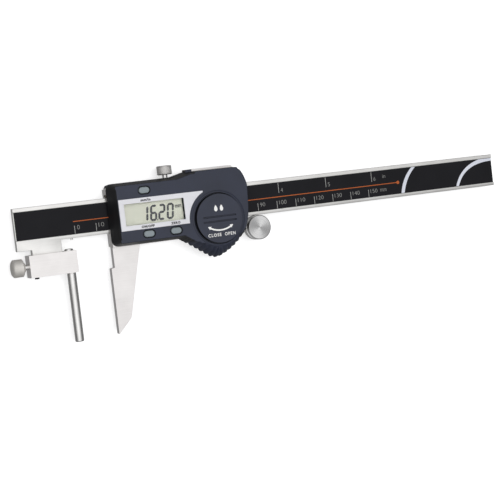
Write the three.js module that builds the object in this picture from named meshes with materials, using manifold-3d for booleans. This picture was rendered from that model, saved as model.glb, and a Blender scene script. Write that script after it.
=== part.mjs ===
// Digital tube-wall caliper, 0 to 150 mm.
// A steel beam carries a bonded measuring scale. Its fixed end holds a round anvil rod in a clamp block.
// A slider with a flat jaw, a display housing and a friction thumb roller runs along the beam.
// Millimetres. The caliper lies on its back: +X runs along the beam away from the fixed end,
// the jaws reach towards -Y, and the display faces +Z.
// The pieces are drawn about the scale's zero, in the middle of the beam's height and thickness,
// and moved at the end to the origin: the middle of the object's footprint, on the surface it lies on.
import * as THREE from "three";
import { mergeVertices } from "three/addons/utils/BufferGeometryUtils.js";
import Module from "manifold-3d";

const wasm = await Module();
wasm.setup();

// ---------------------------------------------------------------- driving dimensions
const READING = 16.2;
const GAP = 0.05; // running clearance between pieces
const SEAT = 0.1; // clearance around a piece that sits in a pocket

const BEAM = { left: -26.9, right: 223.6, half: 8, face: 1.75 };
const SCALE = { bottom: -6.35, top: 6.15, recess: 0.55 };
const TAB = { right: -20.35, bottom: -11.1 };
const NECK = { left: -20.35, right: -6.8, bottom: -16.2 };

const BLOCK = { left: -22.6, right: -1.0, top: -13.35, bottom: -23.25, face: 4.1 };
const ROD = { x: -3.5, radius: 2, top: -12.55, bottom: -54.5 };
const CLAMP = { y: -18.35, shaft: 1.25, knobRadius: 4, knobLeft: -30.3, knobRight: -24.1 };

const FRAME = { left: 16.3, right: 80, top: 12.25, bottom: -14.65, back: -1.95, front: 2.95 };
const CREST = { left: 57.4, right: 78.3, top: 16.9 }; // the frame's raised edge that holds the gib screws
const JAW = {
  face: ROD.x + ROD.radius + READING,
  step: -23.95,
  tip: -53.8,
  bevelX: 21.3,
  bevelY: -47.4,
  rootX: 29.3,
};
const BACK_PLATE = { right: 73.6, rear: -4.1, front: -2.0 };

const SHELL = { left: 15.8, bottom: -14.45, top: 14.05, rear: 3.05, face: 9.75, wall: 1.6, edge: 1.7 };
const COVER = { x: 66.2, y: -7.1, radius: 11.5, bossTop: 12.15, bossBase: 14.2, face: 11.35 };
const BEZEL = { left: 19.1, right: 60.9, bottom: -7.75, top: 6.4, rear: 9.25, face: 9.78 };
const VIEW = { left: 21.5, right: 50.1, bottom: -5.6, top: 4.2 }; // the display's visible opening
const BUTTON = { length: 5.2, height: 3.0, face: 10.1, rear: 5.2 };
const BUTTONS = {
  button_units: [31.8, 9.65],
  button_power: [31.9, -10.15],
  button_zero: [44.9, -10.25],
};

const ROLLER = { x: 88.4, y: -13.85, radius: 5.8, rear: -1.75, face: 4.75 };
const BRACKET = { left: 73.8, rear: -4.1, front: -2.0 };
const LOCK = { x: 45.8, shaft: 1.2, knobRadius: 3.5, knobBottom: 15.65, knobTop: 19.85 };
const CELL = { radius: 10, rear: 4.75, front: 7.95 };

// ---------------------------------------------------------------- materials
const finish = (color, roughness, metalness) => new THREE.MeshStandardMaterial({ color, roughness, metalness });
const STEEL = finish(0xd4d4d2, 0.3, 1);
const BRASS = finish(0xc2a052, 0.35, 1);
const BLACK_STEEL = finish(0x2b2b2d, 0.5, 0.6);
const SHELL_PLASTIC = finish(0x3c3f49, 0.5, 0);
const LABEL_FILM = finish(0x232326, 0.4, 0);
const BOARD = finish(0x1f5a38, 0.5, 0);
const RUBBER = finish(0x19191b, 0.8, 0);
const BEZEL_SILVER = finish(0xe6e6ee, 0.35, 0);
const CLEAR = finish(0xdfe6e4, 0.05, 0);
const DISPLAY_GREY = finish(0xcdd1bf, 0.3, 0);
const BUTTON_GREY = finish(0x8b979a, 0.6, 0);

// ---------------------------------------------------------------- shapes and solids
const object = new THREE.Group();

// A named mesh in the object, from a geometry or from a cut solid.
function add(name, shape, material) {
  const mesh = new THREE.Mesh(shape.isBufferGeometry ? shape : geometryOf(shape), material);
  mesh.name = name;
  object.add(mesh);
  return mesh;
}

// The solid of a closed geometry, for cutting and joining.
function solid(geometry) {
  const bare = geometry.index ? geometry.toNonIndexed() : geometry.clone();
  bare.deleteAttribute("normal");
  bare.deleteAttribute("uv");
  const merged = mergeVertices(bare, 1e-4);
  return new wasm.Manifold(
    new wasm.Mesh({
      numProp: 3,
      vertProperties: merged.attributes.position.array,
      triVerts: new Uint32Array(merged.index.array),
    }),
  );
}

function geometryOf(manifold) {
  const mesh = manifold.getMesh();
  const geometry = new THREE.BufferGeometry();
  geometry.setAttribute("position", new THREE.BufferAttribute(mesh.vertProperties, 3));
  geometry.setIndex(new THREE.BufferAttribute(mesh.triVerts, 1));
  return geometry;
}

const cut = (body, ...tools) => tools.reduce((rest, tool) => rest.subtract(solid(tool)), solid(body));
const join = (...bodies) => bodies.map(solid).reduce((whole, body) => whole.add(body));

// A closed outline through these points.
function outline(points) {
  return new THREE.Shape(points.map(([x, y]) => new THREE.Vector2(x, y)));
}

// An outline carried from one height to another.
function slab(shape, rear, front, bevel = 0, curveSegments = 6) {
  const geometry = new THREE.ExtrudeGeometry(shape, {
    depth: front - rear - 2 * bevel,
    bevelEnabled: bevel > 0,
    bevelThickness: bevel,
    bevelSize: bevel,
    bevelOffset: -bevel,
    bevelSegments: 2,
    curveSegments,
  });
  return geometry.translate(0, 0, rear + bevel);
}

const slabOf = (left, right, bottom, top, rear, front) =>
  slab(
    outline([
      [left, bottom],
      [right, bottom],
      [right, top],
      [left, top],
    ]),
    rear,
    front,
  );

// A cylinder along Z.
function disc(x, y, radius, rear, front, sides = 24) {
  return new THREE.CylinderGeometry(radius, radius, front - rear, sides)
    .rotateX(Math.PI / 2)
    .translate(x, y, (rear + front) / 2);
}

// A cylinder along Y, in the middle of the beam's thickness.
function post(x, radius, bottom, top, sides = 20) {
  return new THREE.CylinderGeometry(radius, radius, top - bottom, sides).translate(x, (bottom + top) / 2, 0);
}

// A cylinder along X, in the middle of the beam's thickness.
function bar(left, right, y, radius, sides = 20) {
  return new THREE.CylinderGeometry(radius, radius, right - left, sides)
    .rotateZ(Math.PI / 2)
    .translate((left + right) / 2, y, 0);
}

// A piece turned about the Y axis. Profile points are [radius, height], from the axis back to the axis.
function turned(profile, sides = 32) {
  return new THREE.LatheGeometry(
    profile.map(([radius, height]) => new THREE.Vector2(radius, height)),
    sides,
  );
}

// A stadium with round ends, centred on (x, y).
function stadium(x, y, length, height) {
  const reach = (length - height) / 2;
  const shape = new THREE.Shape();
  shape.absarc(x + reach, y, height / 2, -Math.PI / 2, Math.PI / 2, false);
  shape.absarc(x - reach, y, height / 2, Math.PI / 2, (3 * Math.PI) / 2, false);
  shape.closePath();
  return shape;
}

// A screw from behind: a flat head whose outer face is at this height, and a shaft along +Z.
function screw(x, y, rear, headRadius, shaftRadius, headDepth, length) {
  const profile = [
    [0, 0],
    [headRadius, 0],
    [headRadius, headDepth],
    [shaftRadius, headDepth + 0.2],
    [shaftRadius, length],
    [0, length],
  ];
  return turned(profile, 16).rotateX(Math.PI / 2).translate(x, y, rear);
}

// ---------------------------------------------------------------- beam and its scale
function buildBeam() {
  const body = outline([
    [BEAM.left, TAB.bottom],
    [TAB.right, TAB.bottom],
    [NECK.left, NECK.bottom],
    [NECK.right, NECK.bottom],
    [NECK.right, -BEAM.half],
    [BEAM.right, -BEAM.half],
    [BEAM.right, BEAM.half],
    [BEAM.left, BEAM.half],
  ]);
  const recess = slabOf(
    BEAM.left - 1,
    BEAM.right + 1,
    SCALE.bottom,
    SCALE.top,
    BEAM.face - SCALE.recess,
    BEAM.face + 1,
  );
  const pinHole = post(-1.5, 0.65, -BEAM.half - 1, -BEAM.half + 2, 12);
  const stopHoles = STOP.screws.map((y) => disc(STOP.x, y, 0.85, -BEAM.face - 1, 0.6, 12));
  add("beam", cut(slab(body, -BEAM.face, BEAM.face), recess, pinHole, ...stopHoles), STEEL);

  const inset = 0.4;
  const stator = BEAM.face - SCALE.recess;
  const strip = (rear, front) =>
    slabOf(
      BEAM.left + inset,
      BEAM.right - inset,
      SCALE.bottom + SEAT / 2,
      SCALE.top - SEAT / 2,
      rear,
      front,
    );
  add("scale_stator", strip(stator + 0.02, stator + 0.27), BOARD);
  add("scale_label", strip(stator + 0.3, stator + 0.52), LABEL_FILM);
  add("zero_stop_pin", post(-1.5, 0.6, -BEAM.half - 0.7, -BEAM.half + 1.9, 12), STEEL);
}

const STOP = { x: 219.2, width: 7, height: 12, screws: [-3.5, 3.5], rear: -4.1 };

// The stop plate on the beam's back, which ends the slider's travel.
function buildEndStop() {
  const rear = STOP.rear;
  const front = -BEAM.face - GAP;
  const plate = slabOf(
    STOP.x - STOP.width / 2,
    STOP.x + STOP.width / 2,
    -STOP.height / 2,
    STOP.height / 2,
    rear,
    front,
  );
  const holes = STOP.screws.flatMap((y) => [
    disc(STOP.x, y, 0.85, rear - 1, front + 1, 12),
    disc(STOP.x, y, 1.6, rear - 1, rear + 1.0, 16),
  ]);
  add("end_stop_plate", cut(plate, ...holes), STEEL);
  STOP.screws.forEach((y, i) => {
    add(`end_stop_screw_${i + 1}`, screw(STOP.x, y, rear + 0.15, 1.5, 0.75, 0.6, 4.2), STEEL);
  });
}

// ---------------------------------------------------------------- anvil block, rod and clamp screw
function buildAnvil() {
  const block = slabOf(BLOCK.left, BLOCK.right, BLOCK.bottom, BLOCK.top, -BLOCK.face, BLOCK.face);
  const tongueSlot = slabOf(
    NECK.left - SEAT,
    NECK.right + SEAT,
    NECK.bottom - SEAT,
    BLOCK.top + 1,
    -BEAM.face - SEAT,
    BEAM.face + SEAT,
  );
  const rodBore = post(ROD.x, ROD.radius + GAP, BLOCK.bottom - 1, BLOCK.top + 1, 32);
  const screwHole = bar(BLOCK.left - 1, ROD.x, CLAMP.y, CLAMP.shaft + GAP);
  const setHole = post(-19.2, 1.05, BLOCK.bottom - 1, BLOCK.bottom + 3, 16);
  add("anvil_block", cut(block, tongueSlot, rodBore, screwHole, setHole), STEEL);
  add("block_set_screw", post(-19.2, 1, BLOCK.bottom - 0.9, BLOCK.bottom + 2.8, 16), BLACK_STEEL);

  const chamfer = 0.35;
  const rod = turned(
    [
      [0, ROD.bottom],
      [ROD.radius - chamfer, ROD.bottom],
      [ROD.radius, ROD.bottom + chamfer],
      [ROD.radius, ROD.top - chamfer],
      [ROD.radius - chamfer, ROD.top],
      [0, ROD.top],
    ],
    32,
  );
  add("anvil_rod", rod.translate(ROD.x, 0, 0), STEEL);
}

function buildClampScrew() {
  const tip = ROD.x - ROD.radius - 0.15;
  const shaftStart = CLAMP.knobLeft + 1.2;
  add("clamp_screw", bar(shaftStart, tip, CLAMP.y, CLAMP.shaft), STEEL);

  const length = CLAMP.knobRight - CLAMP.knobLeft;
  const collar = 0.8;
  const radius = CLAMP.knobRadius;
  const knob = turned(
    [
      [0, 0],
      [radius - 1.1, 0],
      [radius - 0.3, 0.35],
      [radius, 1.1],
      [radius, length - collar - 0.5],
      [radius - 0.5, length - collar],
      [2.1, length - collar],
      [2.1, length],
      [0, length],
    ],
    36,
  );
  knob.rotateZ(-Math.PI / 2).translate(CLAMP.knobLeft, CLAMP.y, 0);
  const socket = bar(shaftStart - SEAT, CLAMP.knobRight + 1, CLAMP.y, CLAMP.shaft + SEAT);
  add("clamp_knob", cut(knob, socket), STEEL);
}

// ---------------------------------------------------------------- slider frame and jaw
const GIB = { bottom: 8.05, top: 9.4, left: 20, right: 76, screws: [63, 73], screwRadius: 1 };
const FRAME_SCREWS = [
  [19.5, 10.9],
  [68, 10.9],
  [21, -11.5],
  [68, -11.5],
];
const HOUSING_SCREWS = [
  [25.2, 10.9],
  [52.5, 10.9],
  [52, -11.5],
];
const SCREW = { head: 1.2, shaft: 0.7 };

function buildFrame() {
  const body = outline([
    [FRAME.left, JAW.step],
    [FRAME.left, FRAME.top],
    [CREST.left, FRAME.top],
    [CREST.left, CREST.top],
    [CREST.right, CREST.top],
    [CREST.right, FRAME.top],
    [FRAME.right, FRAME.top],
    [FRAME.right, FRAME.bottom],
    [JAW.rootX, FRAME.bottom],
    [JAW.rootX, JAW.step],
  ]);
  const blade = outline([
    [FRAME.left, FRAME.bottom + 1],
    [FRAME.left, JAW.step + 0.3],
    [JAW.face, JAW.step],
    [JAW.face, JAW.tip],
    [JAW.face + 0.3, JAW.tip],
    [JAW.bevelX, JAW.bevelY],
    [JAW.rootX, FRAME.bottom],
    [JAW.rootX, FRAME.bottom + 1],
  ]);
  const upper = slab(body, FRAME.back, FRAME.front);
  const belowRail = slabOf(0, 100, JAW.tip - 1, FRAME.bottom, FRAME.back - 1, FRAME.front + 1);
  const rail = cut(upper, belowRail);
  const jaw = solid(slab(blade, -BEAM.face, BEAM.face));
  const channel = slabOf(
    FRAME.left - 1,
    FRAME.right + 1,
    -BEAM.half - SEAT,
    GIB.top + SEAT,
    FRAME.back - 1,
    BEAM.face + 0.2,
  );
  const window = slabOf(22, 76, -6.2, 6, 0, FRAME.front + 1);
  const holes = [
    ...GIB.screws.map((x) => post(x, GIB.screwRadius + GAP, GIB.top - 1, CREST.top + 1, 16)),
    post(LOCK.x, LOCK.shaft + SEAT, GIB.top - 1, FRAME.top + 1, 20),
    ...[...FRAME_SCREWS, BRACKET_SCREW].map(([x, y]) => disc(x, y, SCREW.shaft + SEAT, FRAME.back - 1, 1.2, 12)),
    ...HOUSING_SCREWS.map(([x, y]) => disc(x, y, SCREW.shaft + SEAT, FRAME.back - 1, FRAME.front + 1, 12)),
    ...HOUSING_SCREWS.map(([x, y]) => disc(x, y, SCREW.head + SEAT, FRAME.back - 1, FRAME.back + 1.1, 16)),
  ];
  const whole = rail.add(jaw);
  add("slider_frame", [channel, window, ...holes].reduce((rest, tool) => rest.subtract(solid(tool)), whole), STEEL);

  const gib = slabOf(GIB.left, GIB.right, GIB.bottom, GIB.top, -1.6, 1.6);
  add("gib_strip", gib, BRASS);
  GIB.screws.forEach((x, i) => {
    add(`gib_screw_${i + 1}`, post(x, GIB.screwRadius, GIB.top + GAP, CREST.top - 0.4, 16), BLACK_STEEL);
  });
  add("lock_pad", post(LOCK.x, LOCK.shaft, GIB.top + GAP, GIB.top + 0.75), BRASS);
}

const BRACKET_SCREW = [76.9, -11.5];

function buildBackPlate() {
  const plate = slabOf(FRAME.left, BACK_PLATE.right, -14.2, 11.9, BACK_PLATE.rear, BACK_PLATE.front);
  const holes = FRAME_SCREWS.flatMap(([x, y]) => [
    disc(x, y, SCREW.shaft + SEAT, BACK_PLATE.rear - 1, 0, 12),
    disc(x, y, SCREW.head + SEAT, BACK_PLATE.rear - 1, BACK_PLATE.rear + 1.0, 16),
  ]);
  add("back_plate", cut(plate, ...holes), STEEL);
  FRAME_SCREWS.forEach(([x, y], i) => {
    const screwRear = BACK_PLATE.rear + 0.15;
    add(`back_plate_screw_${i + 1}`, screw(x, y, screwRear, SCREW.head, SCREW.shaft, 0.6, 4.6), STEEL);
  });
  // A rubber lip at each end of the channel wipes the beam's face.
  const lip = (left, right) => slabOf(left, right, -6.1, 5.9, BEAM.face + 0.01, FRAME.front + 0.05);
  add("wiper_left", lip(22.1, 23.2), RUBBER);
  add("wiper_right", lip(74.8, 75.9), RUBBER);
}

// ---------------------------------------------------------------- display housing
// The outline of the moulded shell, from its lower left corner, with the thumb rest below the battery cover.
function shellOutline(inset = 0) {
  const shape = new THREE.Shape();
  const left = SHELL.left + inset;
  const bottom = SHELL.bottom + inset;
  const top = SHELL.top - inset;
  const corner = Math.max(3.2 - inset, 1);
  const round = Math.PI / 2;
  shape.absarc(left + corner, bottom + corner, corner, 2 * round, 3 * round, false);
  shape.lineTo(47.6 + inset * 0.4, bottom);
  shape.lineTo(61.3 + inset * 0.5, -24.1 + inset);
  shape.quadraticCurveTo(64.8, -26.1 + inset, 68.1 - inset * 0.4, -24.4 + inset);
  shape.quadraticCurveTo(75.0 - inset * 0.7, -21.6 + inset, 79.4 - inset, -16.1 + inset * 0.3);
  shape.lineTo(80.6 - inset, -13.3);
  shape.quadraticCurveTo(82.9 - inset, -9, 83.2 - inset, 0);
  shape.lineTo(83.6 - inset, 7);
  shape.quadraticCurveTo(82.6 - inset, 12, 80.6 - inset, 14.7 - inset * 0.6);
  shape.quadraticCurveTo(80 - inset, 15.7 - inset, 78.2 - inset * 0.7, 15.9 - inset);
  shape.lineTo(54.4 - inset * 0.3, 15.9 - inset);
  shape.lineTo(47.4 - inset * 0.3, top + 0.15);
  shape.lineTo(left + corner, top);
  shape.absarc(left + corner, top - corner, corner, round, 2 * round, false);
  shape.closePath();
  return shape;
}

// The display panel: a rectangle whose right end follows the battery boss.
function bezelPlate(margin, rear, front) {
  const plate = slabOf(
    BEZEL.left - margin,
    BEZEL.right + margin,
    BEZEL.bottom - margin,
    BEZEL.top + margin,
    rear,
    front,
  );
  return cut(plate, disc(COVER.x, COVER.y, COVER.bossBase + 0.15 - margin, rear - 1, front + 1, 72));
}

function coneFrustum(rear, front, rearRadius, frontRadius, sides = 48) {
  return new THREE.CylinderGeometry(frontRadius, rearRadius, front - rear, sides)
    .rotateX(Math.PI / 2)
    .translate(COVER.x, COVER.y, (rear + front) / 2);
}

function buildShell() {
  const outer = solid(slab(shellOutline(), SHELL.rear - 3, SHELL.face, SHELL.edge, 5));
  const behind = solid(slabOf(0, 100, -40, 40, SHELL.rear - 5, SHELL.rear));
  const boss = coneFrustum(SHELL.rear + 1, COVER.face, COVER.bossBase + 1.6, COVER.bossTop);
  const bossSides = solid(slab(shellOutline(), SHELL.rear, COVER.face + 1));
  // The lip over the frame's top edge, and the corner beyond the crest.
  const lipBand = solid(slab(shellOutline(), -1.9, SHELL.rear + 0.5));
  const lipLeft = solid(slabOf(0, CREST.left - SEAT, FRAME.top + SEAT, 30, -3, SHELL.rear + 0.5));
  const lipRight = solid(slabOf(CREST.right + SEAT, 100, FRAME.top + SEAT, 30, -3, SHELL.rear + 0.5));
  let whole = outer.subtract(behind).add(solid(boss).intersect(bossSides));
  const lug = solid(slabOf(54.2, CREST.left - SEAT, 14.5, 16.5, 0.6, SHELL.rear + 1.5));
  whole = whole.add(lipBand.intersect(lipLeft)).add(lipBand.intersect(lipRight)).add(lug);

  const cavity = slab(shellOutline(SHELL.wall), SHELL.rear + 1.3, SHELL.face - SHELL.wall, 0, 5);
  const mouth = slabOf(17.9, 78.8, -12.8, 12.3, SHELL.rear - 1, SHELL.rear + 1.4);
  const pocket = bezelPlate(SEAT / 2, BEZEL.rear - 0.05, SHELL.face + 2);
  const opening = slabOf(VIEW.left - 1, VIEW.right + 1, VIEW.bottom - 0.9, VIEW.top + 0.9, 5, SHELL.face + 1);
  const cellWell = disc(COVER.x, COVER.y, COVER.radius + GAP, 8.95, COVER.face + 1, 48);
  const cellThroat = disc(COVER.x, COVER.y, 10.9, 5, COVER.face, 48);
  const buttonHoles = Object.values(BUTTONS).map(([x, y]) =>
    slab(stadium(x, y, BUTTON.length + 0.4, BUTTON.height + 0.4), 5, SHELL.face + 1),
  );
  const lockNotch = post(LOCK.x, LOCK.shaft + 0.4, FRAME.top - 1, 18, 20);
  const tools = [cavity, mouth, opening, cellWell, cellThroat, ...buttonHoles, lockNotch];
  whole = tools.reduce((rest, tool) => rest.subtract(solid(tool)), whole.subtract(pocket));
  // Posts that take the screws from the frame.
  HOUSING_SCREWS.forEach(([x, y]) => {
    const pillar = disc(x, y, 1.6, SHELL.rear, SHELL.face - SHELL.wall + 0.5, 16);
    whole = whole.add(solid(pillar)).subtract(solid(disc(x, y, SCREW.shaft + GAP, SHELL.rear - 1, 6.2, 12)));
  });
  add("housing_shell", whole, SHELL_PLASTIC);
  HOUSING_SCREWS.forEach(([x, y], i) => {
    add(`housing_screw_${i + 1}`, screw(x, y, FRAME.back + 0.1, SCREW.head, SCREW.shaft, 0.7, 7.6), STEEL);
  });
}

function buildDisplay() {
  const opening = slabOf(VIEW.left, VIEW.right, VIEW.bottom, VIEW.top, BEZEL.rear - 1, BEZEL.face + 1);
  add("display_bezel", bezelPlate(0, BEZEL.rear, BEZEL.face).subtract(solid(opening)), BEZEL_SILVER);

  const pane = (margin, rear, front) =>
    slabOf(VIEW.left - margin, VIEW.right + margin, VIEW.bottom - margin, VIEW.top + margin, rear, front);
  add("display_window", pane(0.8, 8.55, 9.15), CLEAR);
  add("lcd_glass", pane(0.7, 6.4, 7.9), DISPLAY_GREY);
  const holder = cut(pane(1.9, 4.2, 8.0), pane(0.8, 5.9, 9), pane(-1.5, 3, 7));
  add("lcd_holder", holder.subtract(solid(pane(0.2, 3, 7))), RUBBER);
  const connector = (bottom, top) => slabOf(VIEW.left + 0.6, VIEW.right - 0.6, bottom, top, 4.15, 6.35);
  add("lcd_connector_upper", connector(VIEW.top - 1.2, VIEW.top + 0.1), RUBBER);
  add("lcd_connector_lower", connector(VIEW.bottom - 0.1, VIEW.bottom + 1.2), RUBBER);
}

function buildElectronics() {
  const board = slabOf(18.2, 78.5, -12.6, 12.2, SHELL.rear + 0.15, SHELL.rear + 1.05);
  const postHoles = HOUSING_SCREWS.map(([x, y]) => disc(x, y, 1.75, 2, 6, 16));
  add("main_board", cut(board, ...postHoles), BOARD);
  add("sensor_board", slabOf(23.4, 74.6, -5.8, 5.6, BEAM.face + 0.35, SHELL.rear + 0.1), BOARD);
  Object.entries(BUTTONS).forEach(([name, [x, y]]) => {
    const dome = disc(x, y, 1.7, SHELL.rear + 1.1, SHELL.rear + 1.5, 16);
    add(name.replace("button", "switch"), dome, BRASS);
  });
  const { x, y } = COVER;
  add("battery_cell", disc(x, y, CELL.radius, CELL.rear, CELL.front, 36), STEEL);
  const negative = slabOf(x - 5, x + 5, y - 1.6, y + 1.6, SHELL.rear + 1.1, CELL.rear - 0.05);
  add("battery_contact_negative", negative, BRASS);
  const rim = y + CELL.radius + 0.15;
  const base = SHELL.rear + 1.1;
  const side = slabOf(x - 1.9, x + 1.9, rim, rim + 0.3, base, 7.2);
  const foot = slabOf(x - 1.9, x + 1.9, rim, rim + 1.45, base, base + 0.3);
  add("battery_contact_positive", join(side, foot), BRASS);
}

// The cover turns in the boss. Its slot takes a coin.
function buildBatteryCover() {
  const { x, y, radius, face } = COVER;
  const plate = turned(
    [
      [0, 8.1],
      [9.9, 8.1],
      [9.9, 9.0],
      [radius, 9.0],
      [radius, face - 0.3],
      [radius - 0.3, face],
      [0, face],
    ],
    48,
  )
    .rotateX(Math.PI / 2)
    .translate(x, y, 0);
  const slot = slab(stadium(x, y, 17.5, 2.3), face - 1.1, face + 1);
  add("battery_cover", cut(plate, slot), SHELL_PLASTIC);
  const ring = cut(disc(x, y, 10.8, 8.15, 8.9, 40), disc(x, y, 10.0, 7, 10, 40));
  add("battery_seal_ring", ring, RUBBER);
}

function buildButtons() {
  Object.entries(BUTTONS).forEach(([name, [x, y]]) => {
    const cap = slab(stadium(x, y, BUTTON.length, BUTTON.height), BUTTON.rear, BUTTON.face, 0.3, 8);
    const flange = slab(stadium(x, y, BUTTON.length + 1.2, BUTTON.height + 1.2), 6.6, 7.9, 0, 8);
    add(name, join(cap, flange), BUTTON_GREY);
  });
}

// ---------------------------------------------------------------- lock screw and thumb roller
function buildLockScrew() {
  const pitchGap = GIB.top + 0.85;
  add("lock_screw", post(LOCK.x, LOCK.shaft, pitchGap, LOCK.knobTop - 1.5), STEEL);
  const height = LOCK.knobTop - LOCK.knobBottom;
  const edge = 0.4;
  const radius = LOCK.knobRadius;
  const knob = turned(
    [
      [0, 0],
      [radius - edge, 0],
      [radius, edge],
      [radius, height - edge],
      [radius - edge, height],
      [0, height],
    ],
    36,
  ).translate(LOCK.x, LOCK.knobBottom, 0);
  const socket = post(LOCK.x, LOCK.shaft + SEAT, LOCK.knobBottom - 1, LOCK.knobTop - 1.4);
  add("lock_knob", cut(knob, socket), STEEL);
}

function buildRoller() {
  const { x, y, radius, rear, face } = ROLLER;
  const groove = 0.5;
  const wheel = turned(
    [
      [0, rear],
      [radius - 0.25, rear],
      [radius, rear + 0.25],
      [radius, BEAM.face],
      [radius - groove, BEAM.face + 0.2],
      [radius - groove, BEAM.face + 0.7],
      [radius, BEAM.face + 0.9],
      [radius, face - 0.3],
      [radius - 0.3, face],
      [0, face],
    ],
    48,
  )
    .rotateX(Math.PI / 2)
    .translate(x, y, 0);
  const bore = disc(x, y, 1.5 + GAP, rear - 1, 3.1, 24);
  add("thumb_roller", cut(wheel, bore), STEEL);
  add("roller_axle", disc(x, y, 1.5, BRACKET.rear + 0.2, 2.9, 24), STEEL);

  const arm = new THREE.Shape();
  arm.moveTo(BRACKET.left, -8.9);
  arm.lineTo(BRACKET.left, -14.2);
  arm.lineTo(FRAME.right + 1, -14.2);
  arm.lineTo(x - 1.6, y - 3.4);
  arm.absarc(x, y, 3.75, -2.0, 1.3, false);
  arm.lineTo(FRAME.right + 2, -8.9);
  arm.closePath();
  const bracket = cut(
    slab(arm, BRACKET.rear, BRACKET.front),
    disc(x, y, 1.5 + GAP, BRACKET.rear - 1, BRACKET.front + 1, 24),
    disc(...BRACKET_SCREW, SCREW.shaft + SEAT, BRACKET.rear - 1, 0, 12),
    disc(...BRACKET_SCREW, SCREW.head + SEAT, BRACKET.rear - 1, BRACKET.rear + 1.0, 16),
  );
  add("roller_bracket", bracket, BLACK_STEEL);
  const bracketScrew = screw(...BRACKET_SCREW, BRACKET.rear + 0.15, SCREW.head, SCREW.shaft, 0.6, 4.6);
  add("roller_bracket_screw", bracketScrew, STEEL);
}

buildBeam();
buildEndStop();
buildAnvil();
buildClampScrew();
buildFrame();
buildBackPlate();
buildShell();
buildDisplay();
buildElectronics();
buildBatteryCover();
buildButtons();
buildLockScrew();
buildRoller();

const ORIGIN = { x: (CLAMP.knobLeft + BEAM.right) / 2, y: (ROD.bottom + LOCK.knobTop) / 2, z: BACK_PLATE.rear };
object.children.forEach((mesh) => mesh.geometry.translate(-ORIGIN.x, -ORIGIN.y, -ORIGIN.z));

export default object;
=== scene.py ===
# %% [markdown]
# # A digital caliper for tube walls
# The caliper is a ground steel beam with a printed scale. A slider runs along it and carries a flat jaw,
# a display in a plastic housing and a small roller for the thumb. The wall of a tube goes between the jaw
# and a round steel rod, which a block holds at the end of the beam.
# The solid parts come from the CAD model, which stays as it is. This script gives them their finishes, and
# builds the pieces that need a softer or finer shape than the CAD solids have.

# %% Load the CAD frame
import math

import bmesh
import bpy
import numpy as np
from mathutils import Matrix, Vector


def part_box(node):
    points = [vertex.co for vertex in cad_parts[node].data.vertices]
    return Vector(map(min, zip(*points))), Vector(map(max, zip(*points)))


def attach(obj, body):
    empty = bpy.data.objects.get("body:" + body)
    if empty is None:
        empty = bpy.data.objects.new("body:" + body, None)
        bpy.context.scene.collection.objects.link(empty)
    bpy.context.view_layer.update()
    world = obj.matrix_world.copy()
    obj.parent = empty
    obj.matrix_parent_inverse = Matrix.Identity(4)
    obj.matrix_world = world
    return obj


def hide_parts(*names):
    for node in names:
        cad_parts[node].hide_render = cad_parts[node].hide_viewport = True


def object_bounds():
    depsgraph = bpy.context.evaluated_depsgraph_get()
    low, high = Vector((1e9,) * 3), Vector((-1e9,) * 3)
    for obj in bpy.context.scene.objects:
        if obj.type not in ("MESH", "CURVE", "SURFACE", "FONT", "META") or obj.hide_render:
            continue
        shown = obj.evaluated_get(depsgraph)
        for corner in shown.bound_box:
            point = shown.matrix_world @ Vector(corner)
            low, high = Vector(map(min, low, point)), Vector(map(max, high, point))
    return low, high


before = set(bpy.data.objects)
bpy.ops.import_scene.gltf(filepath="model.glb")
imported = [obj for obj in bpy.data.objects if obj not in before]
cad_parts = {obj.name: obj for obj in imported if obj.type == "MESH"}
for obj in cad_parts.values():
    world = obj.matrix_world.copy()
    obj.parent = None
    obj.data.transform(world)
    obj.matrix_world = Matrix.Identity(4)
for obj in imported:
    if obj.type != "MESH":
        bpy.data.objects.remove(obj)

cad_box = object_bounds()
print("CAD box, mm:", [round(1000 * v, 2) for corner in cad_box for v in corner])

# %% [markdown]
# ## One drawing frame
# A maker measures a caliper from the zero of its scale. So every point below is in millimetres from that
# zero, in the middle of the beam's height and thickness, and one function turns such points into the
# metres of the CAD frame.

# %% The scale's zero, from the beam's own box
MM = 0.001
BEAM_END = 26.9  # the beam's length to the left of zero
BEAM_HALF = 8.0  # half of the beam's height
beam_low, beam_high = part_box("beam")
ZERO = np.array(
    [beam_low.x + BEAM_END * MM, beam_high.y - BEAM_HALF * MM, (beam_low.z + beam_high.z) / 2]
)


def metres(points):
    """Points in the drawing's millimetres, as points in the CAD frame's metres."""
    return ZERO + np.asarray(points, float) * MM


def drawn_box(node_name):
    """The lowest and highest corner of a CAD node, in the drawing's millimetres."""
    low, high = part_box(node_name)
    return (np.array(low) - ZERO) / MM, (np.array(high) - ZERO) / MM


print("zero of the scale, mm:", np.round(ZERO / MM, 3))

# %% [markdown]
# ## Making meshes
# A piece is either a stack of outlines, one above the other, or a profile turned about an axis. Both are
# grids of points that numpy works out at once. A grid has two parameters: which ring a point is on, and how
# far round that ring it is.

# %% Grids of points into meshes


def grid_faces(rings, columns):
    """Four-sided faces between each ring of points and the next, closed round the ring."""
    ring = np.arange(rings - 1)[:, None] * columns
    here = np.arange(columns)[None, :]
    beside = (here + 1) % columns
    corners = [ring + here, ring + beside, ring + columns + beside, ring + columns + here]
    return np.stack(corners, axis=-1).reshape(-1, 4).tolist()


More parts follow.
